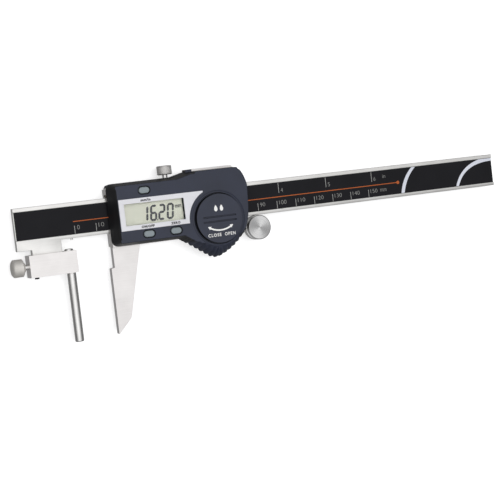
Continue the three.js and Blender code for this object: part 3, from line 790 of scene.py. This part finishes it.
# %% What is joined on: the cone and the lip
# A low cone rises from the display's arc to the foot of the battery cover, which stands well proud of it.
RIM = 13.2
MOAT = COVER_RADIUS + 0.42  # the gap round the cover, deep enough to lie in shadow
MOAT_SHIFT = 0.3  # it is wider on the left
MOAT_FLOOR = 8.95
RIM_TOP = FRONT + 0.35
cone = [(0, REAR + 4), (RIM, REAR + 4), (RIM, FRONT - 0.25), (RIM - 0.2, FRONT + 0.02)]
cone += [(MOAT + 0.6, RIM_TOP - 0.1), (MOAT + 0.3, RIM_TOP), (0, RIM_TOP)]
steps = [("UNION", ring_tool(cone))]

# The lip over the top of the slider, in two lengths with the steel crest between them, and a lug at the
# crest's left end.
LIP_REAR, LIP_FRONT = -1.9, REAR + 0.6
crest_left, crest_right, crest_top = 57.3, 78.4, 15.88
frame_top = 12.35
left_lip = [(LEFT + 0.55, frame_top), (crest_left, frame_top), (crest_left, crest_top), (54.5, crest_top)]
left_lip += [(47.5, TOP + 0.1), (LEFT + CORNER, TOP), (LEFT + 1.4, TOP - 0.5)]
right_lip = [(crest_right, frame_top), (82.0, frame_top), (80.6, 14.7), (79.9, 15.5)]
right_lip += [(crest_right, crest_top)]
steps.append(("UNION", plate_of(left_lip, LIP_REAR, LIP_FRONT)))
steps.append(("UNION", plate_of(right_lip, LIP_REAR, LIP_FRONT)))
steps.append(("UNION", plate_of(rectangle_points(54.2, crest_left, 14.5, 16.8), 0.6, REAR + 1.9)))

print("joined on:", len(steps), "pieces")

# %% What is hollow: the inside, the mouth and the screw bosses
# The hollow follows the wall's lean, ring 0 at its foot and ring 2 near its top.
WALL = 1.6
inner = np.stack([smooth_line + (depth[n] + WALL)[:, None] * normal for n in (0, 2)])
levels = np.broadcast_to(np.array([REAR + 1.3, FRONT - WALL])[:, None, None], inner.shape[:2] + (1,))
steps.append(("DIFFERENCE", stacked("tool", np.concatenate([inner, levels], axis=2))))
mouth = rectangle_points(17.9, 78.8, -12.8, 12.3)
steps.append(("DIFFERENCE", plate_of(mouth, REAR - 1, REAR + 1.4)))
for x, y in [(25.2, 10.9), (52.5, 10.9), (52.0, -11.5)]:
    boss = ring_tool([(0, REAR), (1.6, REAR), (1.6, 8.6), (0, 8.6)], x, y)
    bore = ring_tool([(0, REAR - 1), (0.75, REAR - 1), (0.75, 6.2), (0, 6.2)], x, y)
    steps += [("UNION", boss), ("DIFFERENCE", bore)]

print("wall, mm:", WALL)

# %% Seats and wells in the face
# The display's shallow seat ends in an arc that follows the battery cover's rim.
SEAT_GAP = 0.05
SEAT_ARC = 14.3
seat_left = bezel_low[0] - SEAT_GAP
seat_bottom, seat_top = bezel_low[1] - SEAT_GAP, bezel_high[1] + SEAT_GAP
low_angle, high_angle = (
    180 - math.degrees(math.asin((y - CELL_Y) / SEAT_ARC)) for y in (seat_bottom, seat_top)
)
seat_arc = arc_points(CELL_X, CELL_Y, SEAT_ARC, low_angle, high_angle, 40)
seat = np.vstack([[(seat_left, seat_bottom)], seat_arc, [(seat_left, seat_top)]])
seat[:, 0] = np.minimum(seat[:, 0], BEZEL_TIP + SEAT_GAP)
steps.append(("DIFFERENCE", plate_of(seat, bezel_low[2] - SEAT_GAP, FRONT + 1)))
hole_x, hole_y = (window_low[0] - 0.2, window_high[0] + 0.2), (window_low[1] - 0.1, window_high[1] + 0.1)
steps.append(("DIFFERENCE", plate_of(rectangle_points(*hole_x, *hole_y), 5, FRONT + 1)))

# The buttons' wells flare at the face, and the cover's moat has a small round at its lip.
for node_name in BUTTON_BODIES:
    x, y, _ = middle(node_name)
    well = stadium_points(x, y, BUTTON_SIZE[0] + 0.4, BUTTON_SIZE[1] + 0.4)
    flare = [(0, 5), (0, FRONT - 0.35), (-0.35, FRONT + 0.01), (-0.35, FRONT + 1)]
    steps.append(("DIFFERENCE", stacked("tool", inset_rings(well, flare))))
moat = [(0, MOAT_FLOOR), (MOAT, MOAT_FLOOR), (MOAT, RIM_TOP - 0.15), (MOAT + 0.15, RIM_TOP + 0.01)]
moat += [(MOAT + 0.15, COVER_TOP + 1), (0, COVER_TOP + 1)]
steps.append(("DIFFERENCE", ring_tool(moat, CELL_X - MOAT_SHIFT)))
steps.append(("DIFFERENCE", ring_tool([(0, 5), (10.9, 5), (10.9, 9.2), (0, 9.2)])))
lock_x = middle("lock_screw")[0]
notch = [(0, 11.3), (1.6, 11.3), (1.6, 18), (0, 18)]
steps.append(("DIFFERENCE", turned("tool", notch, (lock_x, 0, 0), axis="Y", sides=48)))
print("steps in all:", len(steps))

# %% The finished housing


def mark_sides(piece, grip_share=0.0):
    """Writes on each face how much shade is painted on it as a side wall: 0 when its normal's z is 0.93,
    1 when it is 0.68 or less, and less by grip_share on the thumb rest, which is below y = -15.5."""
    count = len(piece.data.polygons)
    facing, centre = np.empty(count * 3), np.empty(count * 3)
    piece.data.polygons.foreach_get("normal", facing)
    piece.data.polygons.foreach_get("center", centre)
    steep = np.clip((0.93 - facing[2::3]) / 0.25, 0, 1)
    low = np.clip((-15.5 - (centre[1::3] - ZERO[1]) / MM) / 1.5, 0, 1)
    painted_side_shade = piece.data.attributes.new("painted_side_shade", "FLOAT", "FACE")
    painted_side_shade.data.foreach_set("value", steep * (1 - grip_share * low))


housing = worked(housing, steps, sharp=28)
# The housing's side walls get painted shade, except on the thumb rest.
mark_sides(housing, grip_share=1.0)
finished(housing, "slider", HOUSING, ["housing_shell"])
print("housing:", len(housing.data.vertices), "points,", len(housing.data.polygons), "faces")

# %% [markdown]
# ## Buttons
# The three buttons are one kind of silicone cap with a flange behind the housing's wall. Their tops are
# slightly crowned and their edges round.

# %% Buttons
FLANGE_REAR, FLANGE_FRONT = 6.6, 7.9
FLANGE = [(0, FLANGE_REAR), (-0.6, FLANGE_REAR), (-0.6, FLANGE_FRONT), (0, FLANGE_FRONT)]
for node_name, body in BUTTON_BODIES.items():
    x, y, _ = middle(node_name)
    low, high = drawn_box(node_name)
    top = high[2]
    crown = [(inset, top - 0.75 + up) for inset, up in roll(0.45, 0.6)]
    crown += [(0.8, top - 0.08), (1.1, top - 0.02), (1.35, top)]
    rings = inset_rings(stadium_points(x, y, *BUTTON_SIZE, count=24), [(0, low[2]), *FLANGE, *crown])
    cap = stacked(node_name + "_cap", rings, sharp=50)
    finished(cap, body, BUTTON, [node_name])
print("buttons:", len(BUTTON_BODIES))

# %% [markdown]
# ## The battery cover
# The cover is a disc that a coin turns. A low bar crosses it between two grooves, and white marks on it say
# which way it opens.

# %% Battery cover
COVER_FACE = COVER_TOP - 0.03  # leaves room for the ink
COVER_EDGE = COVER_RADIUS - 0.02
PLUG_RADIUS, PLUG_REAR, DISC_REAR = 9.9, 8.1, 9.0  # the cover's back plugs into the housing
half_round = [(COVER_EDGE - inset, COVER_FACE - 0.35 + up) for inset, up in roll(0.4, 0.35)]
cover_profile = [(0, PLUG_REAR), (PLUG_RADIUS, PLUG_REAR), (PLUG_RADIUS, DISC_REAR)]
cover_profile += [(COVER_EDGE, DISC_REAR), *half_round, (COVER_EDGE - 0.48, COVER_FACE), (0, COVER_FACE)]
cover = turned("battery_cover_disc", cover_profile, (CELL_X, CELL_Y, 0), sides=144)
GROOVE_LENGTH, GROOVE_WIDTH = 16.2, 0.36
groove_flare = [(0, COVER_FACE - 0.55), (-0.18, COVER_FACE + 0.02), (-0.18, COVER_FACE + 1)]
grooves = []
for y in (CELL_Y + 0.9, CELL_Y - 1.3):
    line = stadium_points(CELL_X - 0.1, y, GROOVE_LENGTH, GROOVE_WIDTH)
    grooves.append(("DIFFERENCE", stacked("tool", inset_rings(line, groove_flare))))
cover = worked(cover, grooves)
# The cover's side wall gets painted shade.
mark_sides(cover)
finished(cover, "cover", COVER, ["battery_cover"])
print("cover:", len(cover.data.vertices), "points")

# %% [markdown]
# ### What is printed on the cover
# A shallow smile with an arrow head at each end shows the turn, a word under each end says what it does,
# and two water drops between them stand for the seal. All are outlines drawn by a formula.

# %% Arrow, drops and words
SMILE = (CELL_X - 0.2, -1.95)  # centre of the arrow's arc
SMILE_RADIUS, LINE_HALF_WIDTH, HEAD_HALF_WIDTH = 10.6, 0.36, 0.85
SHAFT_TURN, TIP_TURN = 28.0, 36.0  # degrees from straight down to the head's foot and to its tip


def arrow_outline():
    """Two arcs a line's width apart, and a triangle at each end of them."""
    lower, upper = SMILE_RADIUS + LINE_HALF_WIDTH, SMILE_RADIUS - LINE_HALF_WIDTH
    parts = []
    for radius, way in ((lower, 1), (upper, -1)):
        stop = 270 + way * SHAFT_TURN
        parts.append(arc_points(*SMILE, radius, 270 - way * SHAFT_TURN, stop, 30))
        for reach, angle in ((way, stop), (0, 270 + way * TIP_TURN), (-way, stop)):
            parts.append(arc_points(*SMILE, SMILE_RADIUS + reach * HEAD_HALF_WIDTH, angle, angle, 1))
    return np.vstack(parts)


def drop_outline(x, y, height):
    """A water drop: a circle whose upper points are drawn up to a tip."""
    turn = np.linspace(0, 2 * np.pi, 48, endpoint=False)
    wide = 0.36 * height * np.sin(turn) * np.sin(turn / 2) ** 0.9
    return np.stack([x + wide, y + height * 0.5 * np.cos(turn)], axis=-1)[::-1]


WORDS_Y = -14.6
cover_words = [("CLOSE", CELL_X - 3.5, WORDS_Y, 1.5, 6.5), ("OPEN", CELL_X + 4.1, WORDS_Y, 1.5, 5.3)]
printed_outline("cover_arrow", arrow_outline(), COVER_FACE, "cover", INK_WHITE)
for number, x in enumerate((CELL_X - 1.6, CELL_X + 1.2)):
    drop = drop_outline(x, -2.3, 2.9)
    printed_outline(f"cover_drop_{number + 1}", drop, COVER_FACE, "cover", INK_WHITE)
printed_words("cover_words", cover_words, COVER_FACE, "cover", INK_WHITE, weight=0.018, gap=1.25)
print("words on the cover:", len(cover_words))

# %% [markdown]
# ## The display
# The numbers on the display are seven bars each, with pointed ends, a hair above the grey panel. A small
# word on the bezel names each button.

# %% Seven-bar numbers
panel_low, panel_high = drawn_box("lcd_glass")
BAR = 1.02  # width of a bar
DIGIT = (3.45, 7.35)
LEAN_RIGHT = 0.12  # sideways for each step up
DIGITS_BOTTOM = -4.75
SEGMENTS = {"1": "bc", "6": "acdefg", "2": "abged", "0": "abcdef"}


def bar_outline(start, stop, width):
    """A bar from start to stop with pointed ends: six points."""
    start, stop = np.array(start, float), np.array(stop, float)
    along = (stop - start) / np.linalg.norm(stop - start)
    side = np.array([-along[1], along[0]]) * width / 2
    near, far = start + along * width * 0.45, stop - along * width * 0.45
    return np.array([start, near - side, far - side, stop, far + side, near + side])


def digit_bars(character, left, bottom):
    """The bars of one number, from its lower left corner."""
    wide, tall = DIGIT
    x0, x1 = left + BAR / 2, left + wide - BAR / 2
    y0, y1, y2 = bottom + BAR / 2, bottom + tall / 2, bottom + tall - BAR / 2
    ends = {
        "a": ((x0, y2), (x1, y2)),
        "b": ((x1, y1), (x1, y2)),
        "c": ((x1, y0), (x1, y1)),
        "d": ((x0, y0), (x1, y0)),
        "e": ((x0, y0), (x0, y1)),
        "f": ((x0, y1), (x0, y2)),
        "g": ((x0, y1), (x1, y1)),
    }
    return [bar_outline(*ends[key], BAR) for key in SEGMENTS[character]]


print("a number, mm:", DIGIT)

# %% The reading and its point
bars = []
for character, left in [("1", 29.2), ("6", 33.45), ("2", 37.4), ("0", 41.5)]:
    bars += digit_bars(character, left, DIGITS_BOTTOM)
point_y = DIGITS_BOTTOM + 0.4
bars.append(bar_outline((36.7, point_y), (37.5, point_y), 0.75))
outlines = np.array(bars)
outlines[:, :, 0] += (outlines[:, :, 1] - DIGITS_BOTTOM) * LEAN_RIGHT
OVER_PANEL = panel_high[2] + 0.01
layers = [
    np.concatenate([outlines, np.full(outlines.shape[:2] + (1,), z)], axis=2)
    for z in (OVER_PANEL, OVER_PANEL + 0.03)
]
points = np.concatenate(layers, axis=1).reshape(-1, 3)
solid_faces = grid_faces(2, 6) + [[5, 4, 3, 2, 1, 0], [6, 7, 8, 9, 10, 11]]
faces = [[i + 12 * n for i in face] for n in range(len(outlines)) for face in solid_faces]
finished(mesh_piece("display_digits", points, faces), "slider", SEGMENT)
print("display:", len(outlines), "bars")

# %% Words on the panel and the bezel, and a strip of painted shade
unit = [("mm", 47.7, 0.75, 1.4, 3.0)]
printed_words("display_unit", unit, OVER_PANEL, "slider", SEGMENT, 0.03, weight=0.03)
# A dark strip along the panel's right edge is painted shade, where the recess's right wall would lie in
# shadow.
edge = [(49.75, panel_high[0], panel_low[1], panel_high[1])]
printed_bars("display_painted_recess_shade", edge, OVER_PANEL, "slider", SEGMENT)
bezel_words = [("mm/in", 31.9, 5.3, 1.2, 4.7), ("ON/OFF", 31.7, -6.72, 1.15, 6.2)]
bezel_words += [("ZERO", 45.0, -6.72, 1.15, 4.5)]
printed_words("bezel_words", bezel_words, bezel_high[2], "slider", INK_DARK, weight=0.055, gap=1.15)
print("words on the bezel:", len(bezel_words))

# %% [markdown]
# ## Knobs, roller and rod
# Round parts come off a lathe. A profile of radius and height, turned about its axis, gives each one. The
# fine ridges of a knurl are pressed in by a hard wheel: here two waves that run round the knob, one leaning
# each way, are taken off its radius, so that small diamonds stay proud.

# %% A knurl


def knurl(pitches, depth, start, stop, lean):
    """A dent for turned(): triangle waves round the knob, leaning both ways, between two heights."""

    def dent(angle, height, radius):
        first = np.abs(((angle * pitches / (2 * np.pi) + height * lean) % 1) - 0.5) * 2
        second = np.abs(((angle * pitches / (2 * np.pi) - height * lean) % 1) - 0.5) * 2
        inside = np.clip((height - start) / 0.12, 0, 1) * np.clip((stop - height) / 0.12, 0, 1)
        return depth * inside * np.maximum(first, second)

    return dent


def steps_between(radius, start, stop, count):
    """Profile points along a cylinder's side, close enough for a knurl."""
    return [(radius, h) for h in np.linspace(start, stop, count)]


KNOB_SIDES = 240
print("sides of a knob:", KNOB_SIDES)

# %% Clamp knob
RIM_HEIGHT = 0.8  # of the low ring round the clamp knob's hollow end
clamp_low, clamp_high = drawn_box("clamp_knob")
long = clamp_high[0] - clamp_low[0]
radius = (clamp_high[1] - clamp_low[1]) / 2
clamp_y = (clamp_high[1] + clamp_low[1]) / 2
grip_start, grip_stop = 1.3, long - 1.35
dome = [(0, 0.0), (1.2, 0.02), (2.2, 0.1), (2.9, 0.27), (3.4, 0.52), (3.75, 0.85), (radius, 1.2)]
step_down = [(radius - 0.1, long - 1.05), (3.45, long - RIM_HEIGHT), (2.1, long - RIM_HEIGHT)]
hollow = [(2.1, long - 0.1), (2.0, long), (1.3, long), (1.3, 1.15), (0, 1.15)]
clamp_profile = [*dome, *steps_between(radius, grip_start, grip_stop, 22), *step_down, *hollow]
clamp_grip = knurl(40, 0.12, grip_start, grip_stop, 1.2)
at = (clamp_low[0], clamp_y, 0)
clamp_knob = turned("clamp_knob_knurled", clamp_profile, at, "X", KNOB_SIDES, clamp_grip, sharp=50)
finished(clamp_knob, "clamp", CHROME_SATIN, ["clamp_knob"])
print("clamp knob:", len(clamp_knob.data.vertices), "points")

# %% Lock knob
lock_low, lock_high = drawn_box("lock_knob")
tall = lock_high[1] - lock_low[1]
radius = (lock_high[0] - lock_low[0]) / 2
THREAD_HOLE, HOLE_END = 1.25, tall - 1.42
lock_profile = [(0, HOLE_END), (THREAD_HOLE, HOLE_END), (THREAD_HOLE, 0), (radius - 0.5, 0)]
lock_profile += [(radius - 0.15, 0.15), (radius, 0.45), *steps_between(radius, 0.55, tall - 0.55, 18)]
lock_profile += [(radius, tall - 0.45), (radius - 0.15, tall - 0.15), (radius - 0.5, tall), (0, tall)]
lock_grip = knurl(26, 0.2, 0.55, tall - 0.55, 0.85)
at = (lock_x, lock_low[1], 0)
lock_knob = turned("lock_knob_knurled", lock_profile, at, "Y", KNOB_SIDES, lock_grip, sharp=50)
finished(lock_knob, "lock", STEEL_KNURLED, ["lock_knob"])
print("lock knob:", len(lock_knob.data.vertices), "points")

# %% [markdown]
# ### The thumb roller
# The roller has two thick rims with a groove between them, fine straight ribs, and a face that is turned
# flat. Turning leaves rings round the middle, and light opens into two fans across such rings. The fans
# could come from an anisotropic reflection alone, but a small light would be needed to see them. So the
# finish also paints them softly.

# %% Thumb roller
roller_low, roller_high = drawn_box("thumb_roller")
roller_x, roller_y, _ = middle("thumb_roller")
rim = (roller_high[0] - roller_low[0]) / 2  # the radius of the two rims
rear, face = roller_low[2], roller_high[2]
beam_face = (beam_high.z - ZERO[2]) / MM
AXLE_HOLE, AXLE_END = 1.52, 3.1
RIB_COUNT, ROLLER_RIB_DEPTH = 90, 0.07
roller_profile = [(0, AXLE_END), (AXLE_HOLE, AXLE_END), (AXLE_HOLE, rear), (rim - 0.35, rear)]
roller_profile += [(rim - 0.1, rear + 0.1), *steps_between(rim, rear + 0.35, beam_face, 10)]
roller_profile += [(rim - 0.5, beam_face + 0.2), (rim - 0.5, beam_face + 0.7)]
roller_profile += [*steps_between(rim, beam_face + 0.9, face - 0.5, 10), (rim - 0.12, face - 0.2)]
roller_profile += [(rim - 0.45, face), (rim - 0.55, face), (0, face)]


def fine_ribs(angle, height, radius):
    """Triangle waves round the rims, and none on the groove and near the face."""
    side = np.clip((radius - rim + 0.02) / 0.02, 0, 1)
    wave = np.abs(((angle * RIB_COUNT / (2 * np.pi)) % 1) - 0.5) * 2
    return ROLLER_RIB_DEPTH * side * wave * np.clip((face - 0.45 - height) / 0.1, 0, 1)


at = (roller_x, roller_y, 0)
thumb_roller = turned("thumb_roller_turned", roller_profile, at, "Z", 360, fine_ribs, sharp=40)
print("thumb roller:", len(thumb_roller.data.vertices), "points")

# %% Finish of the roller's face
RINGS_PER_METRE = 9000.0
PAINTED_FAN_DEPTH = 0.17


def turned_face():
    """Rings from the lathe vary with the distance from the axis. Across them, light and dark fans are
    painted as a painted reflection, and vary with twice the angle round it. The tangent runs round the axis."""
    material, shader, place = new_material("stainless steel, faced on a lathe, painted fans of light")
    x, y, _ = metres((roller_x, roller_y, 0)).tolist()
    offset = node(material, "ShaderNodeVectorMath", {0: place, 1: (x, y, 0.0)}, operation="SUBTRACT")
    flatten = {0: offset.outputs["Vector"], 1: (1.0, 1.0, 0.0)}
    flat = node(material, "ShaderNodeVectorMath", flatten, operation="MULTIPLY").outputs["Vector"]
    radius = node(material, "ShaderNodeVectorMath", {0: flat}, operation="LENGTH").outputs["Value"]
    turns = node(material, "ShaderNodeMath", {0: radius, 1: RINGS_PER_METRE}, operation="MULTIPLY")
    noise = {"W": turns.outputs[0], "Scale": 1.0, "Detail": 2.0}
    rings = node(material, "ShaderNodeTexNoise", noise, noise_dimensions="1D").outputs["Fac"]
    apart = node(material, "ShaderNodeSeparateXYZ", {"Vector": flat}).outputs
    angle = node(material, "ShaderNodeMath", {0: apart["Y"], 1: apart["X"]}, operation="ARCTAN2")
    double = {0: angle.outputs[0], 1: 2.0, 2: -0.5}
    twice = node(material, "ShaderNodeMath", double, operation="MULTIPLY_ADD").outputs[0]
    fans = node(material, "ShaderNodeMath", {0: twice}, operation="SINE").outputs[0]
    sum_of = {0: fans, 1: PAINTED_FAN_DEPTH, 2: rings}
    shade = node(material, "ShaderNodeMath", sum_of, operation="MULTIPLY_ADD").outputs[0]
    dress(material, shader, shade, rings, ("a2a2a2", "f0f0ef"), (0.3, 0.4), 0.012, 0.6)
    upright = {0: (0.0, 0.0, 1.0), 1: flat}
    tangent = node(material, "ShaderNodeVectorMath", upright, operation="CROSS_PRODUCT").outputs["Vector"]
    material.node_tree.links.new(tangent, shader.inputs["Tangent"])
    shader.inputs["Metallic"].default_value = 1.0
    shader.inputs["Anisotropic"].default_value = 0.8
    return material


# Faced on a lathe: rings, and painted light and dark fans of reflection that meet in the middle.
STEEL_FACED = turned_face()
finished(thumb_roller, "roller", STEEL_FACED, ["thumb_roller"])
print("rings, mm apart:", round(1 / (RINGS_PER_METRE * MM), 2))

# %% [markdown]
# ### The anvil rod
# The rod is drill rod, ground round and polished, with a larger round at the end that goes into the tube,
# so that it rests on the tube's wall without a mark.

# %% Anvil rod
rod_low, rod_high = drawn_box("anvil_rod")
rod_radius = (rod_high[0] - rod_low[0]) / 2
rod_x = (rod_high[0] + rod_low[0]) / 2
foot, top = rod_low[1], rod_high[1]
foot_round = [(0.5, 0), (0.2, 0.1), (0.04, 0.3), (0, 0.6)]
top_round = [(0, 0.5), (0.15, 0.12), (0.5, 0)]
rod_profile = [(0, foot), *[(rod_radius - inset, foot + up) for inset, up in foot_round]]
rod_profile += [*[(rod_radius - inset, top - down) for inset, down in top_round], (0, top)]
rod = turned("anvil_rod_ground", rod_profile, (rod_x, 0, 0), axis="Y")
finished(rod, "beam", STEEL_POLISHED, ["anvil_rod"])
print("rod, mm:", round(2 * rod_radius, 2), "across,", round(top - foot, 2), "long")

# %% [markdown]
# ## Screws
# The small screws have a flat head with a cross recess. One screw is made as a turned body, and a cross of
# two tapering bars is cut out of its head.

# %% Cross-head screws
SCREW_BODIES = {f"back_plate_screw_{n}": "slider" for n in (1, 2, 3, 4)}
SCREW_BODIES |= {"roller_bracket_screw": "slider", "end_stop_screw_1": "beam", "end_stop_screw_2": "beam"}
CROSS_FLARE = [(-0.05, -0.2), (0.08, 0.4)]
for node_name, body in SCREW_BODIES.items():
    low, high = drawn_box(node_name)
    x, y = (low[:2] + high[:2]) / 2
    head = (high[0] - low[0]) / 2
    shaft = head * 0.55
    base, tip = low[2], high[2]
    screw_profile = [(0, base), (head - 0.25, base), (head - 0.07, base + 0.07), (head, base + 0.22)]
    screw_profile += [(head, base + 0.55), (shaft, base + 0.6), (shaft, tip - 0.2)]
    screw_profile += [(shaft - 0.15, tip), (0, tip)]
    screw = turned(node_name + "_cross", screw_profile, (x, y, 0), sides=48)
    arms = []
    for length, width in ((head * 1.15, head * 0.3), (head * 0.3, head * 1.15)):
        arm = rectangle_points(x - length / 2, x + length / 2, y - width / 2, y + width / 2)
        flare = [(inset, base + up) for inset, up in CROSS_FLARE]
        arms.append(("DIFFERENCE", stacked("tool", inset_rings(arm, flare))))
    finished(worked(screw, arms), body, STEEL_SCREW, [node_name])
print("screws:", len(SCREW_BODIES))

# %% [markdown]
# ## Floor, light and camera
# The caliper lies on its back on a pale table. A broad lamp above and a bright ceiling light it softly,
# while the walls near the horizon stay darker. Polished steel mirrors that darker band, and so its round
# parts get the dark edges that tell the eye they are round.

# %% Floor
floor_mesh = bpy.data.meshes.new("floor")
FLOOR, FLOOR_DROP = 4.0, 0.0005  # half its side, and how far it lies below the caliper, in metres
floor_z = cad_box[0][2] - FLOOR_DROP
corners = [(-FLOOR, -FLOOR, floor_z), (FLOOR, -FLOOR, floor_z), (FLOOR, FLOOR, floor_z)]
floor_mesh.from_pydata([*corners, (-FLOOR, FLOOR, floor_z)], [], [(0, 1, 2, 3)])
floor = bpy.data.objects.new("floor", floor_mesh)
bpy.context.scene.collection.objects.link(floor)
# White and matt, and a little bright by itself: it fades out of sight round a soft shadow.
floor_paint, floor_shader, _ = new_material("white table, matt")
floor_shader.inputs["Base Color"].default_value = (0.75, 0.75, 0.75, 1.0)
floor_shader.inputs["Roughness"].default_value = 0.9
floor_shader.inputs["Specular IOR Level"].default_value = 0.1
floor_shader.inputs["Emission Color"].default_value = (1.0, 1.0, 1.0, 1.0)
floor_shader.inputs["Emission Strength"].default_value = 0.55
floor_mesh.materials.append(floor_paint)
floor.visible_glossy = False
floor.visible_diffuse = False
print("floor at, mm:", round(floor_z / MM, 2))

# %% [markdown]
# ### Light
# The sky is a smooth run of greys from below to above, leaning a little to the left. A white tent over a
# table gives the same. Two broad lamps add a soft shadow under the caliper. They are hidden from glossy
# reflections, so that the metal mirrors the even sky and not a square.

# %% Sky
world = bpy.data.worlds.new("studio")
bpy.context.scene.world = world
world.use_nodes = True
sky = world.node_tree
LIGHT_FROM = (-0.1, 0.02, 0.49)  # half a step towards the brightest sky
SKY = [(0.0, 0.3), (0.45, 0.22), (0.6, 0.12), (0.775, 0.4), (0.91, 0.9), (0.99, 1.3)]  # where, how bright
direction = node(world, "ShaderNodeTexCoord").outputs["Generated"]
overhead = node(world, "ShaderNodeVectorMath", {0: direction, 1: LIGHT_FROM}, operation="DOT_PRODUCT")
height = node(world, "ShaderNodeMath", {0: overhead.outputs["Value"], 1: 0.5}, operation="ADD").outputs[0]
ramp = node(world, "ShaderNodeValToRGB", {"Fac": height})
stops = ramp.color_ramp.elements
for number, (where, grey) in enumerate(SKY):
    stop = stops[0] if number == 0 else stops.new(where)
    stop.position = where
    stop.color = (grey, grey, grey * 1.01, 1.0)
stops.remove(stops[-1])
sky.links.new(ramp.outputs["Color"], sky.nodes["Background"].inputs["Color"])
print("sky greys:", len(SKY))

# %% Lamps


def lamp(name, at, size, power):
    """A square soft lamp in the frame's metres, aimed at the middle of the caliper."""
    light = bpy.data.lights.new(name, "AREA")
    light.energy = power
    light.size = size
    holder = bpy.data.objects.new(name, light)
    bpy.context.scene.collection.objects.link(holder)
    holder.location = at
    holder.visible_glossy = False
    holder.rotation_euler = (-Vector(at)).to_track_quat("-Z", "Y").to_euler()


lamp("lamp over the table", (0.35, 0.15, 1.1), 1.0, 4.0)
lamp("lamp from the right", (1.2, 0.6, 0.9), 0.9, 1.2)
print("lamps:", len(bpy.data.lights))

# %% [markdown]
# ### Camera
# The camera looks down from the left end, a little over half a metre away, through a moderately long
# lens. Its place is in the drawing's millimetres. Three unit vectors turn it: right, up and backwards.

# %% Camera
EYE = (-144.003, 6.382, 540.155)  # in the drawing's millimetres
forward = Vector((0.38832, -0.05209, -0.92005)).normalized()
up = Vector((0.12600, 0.99203, -0.00298)).normalized()
right = forward.cross(up).normalized()
up = right.cross(forward)
camera = bpy.data.objects.new("camera", bpy.data.cameras.new("camera"))
bpy.context.scene.collection.objects.link(camera)
camera.data.lens = 88.913
camera.data.sensor_width = 36.0
camera.data.clip_start = 0.01
turn = Matrix((right, up, -forward)).transposed().to_4x4()
camera.matrix_world = Matrix.Translation(metres(EYE).tolist()) @ turn
bpy.context.scene.camera = camera
bpy.context.scene.view_settings.view_transform = "Standard"
print("camera at, m:", [round(v, 3) for v in camera.matrix_world.translation])
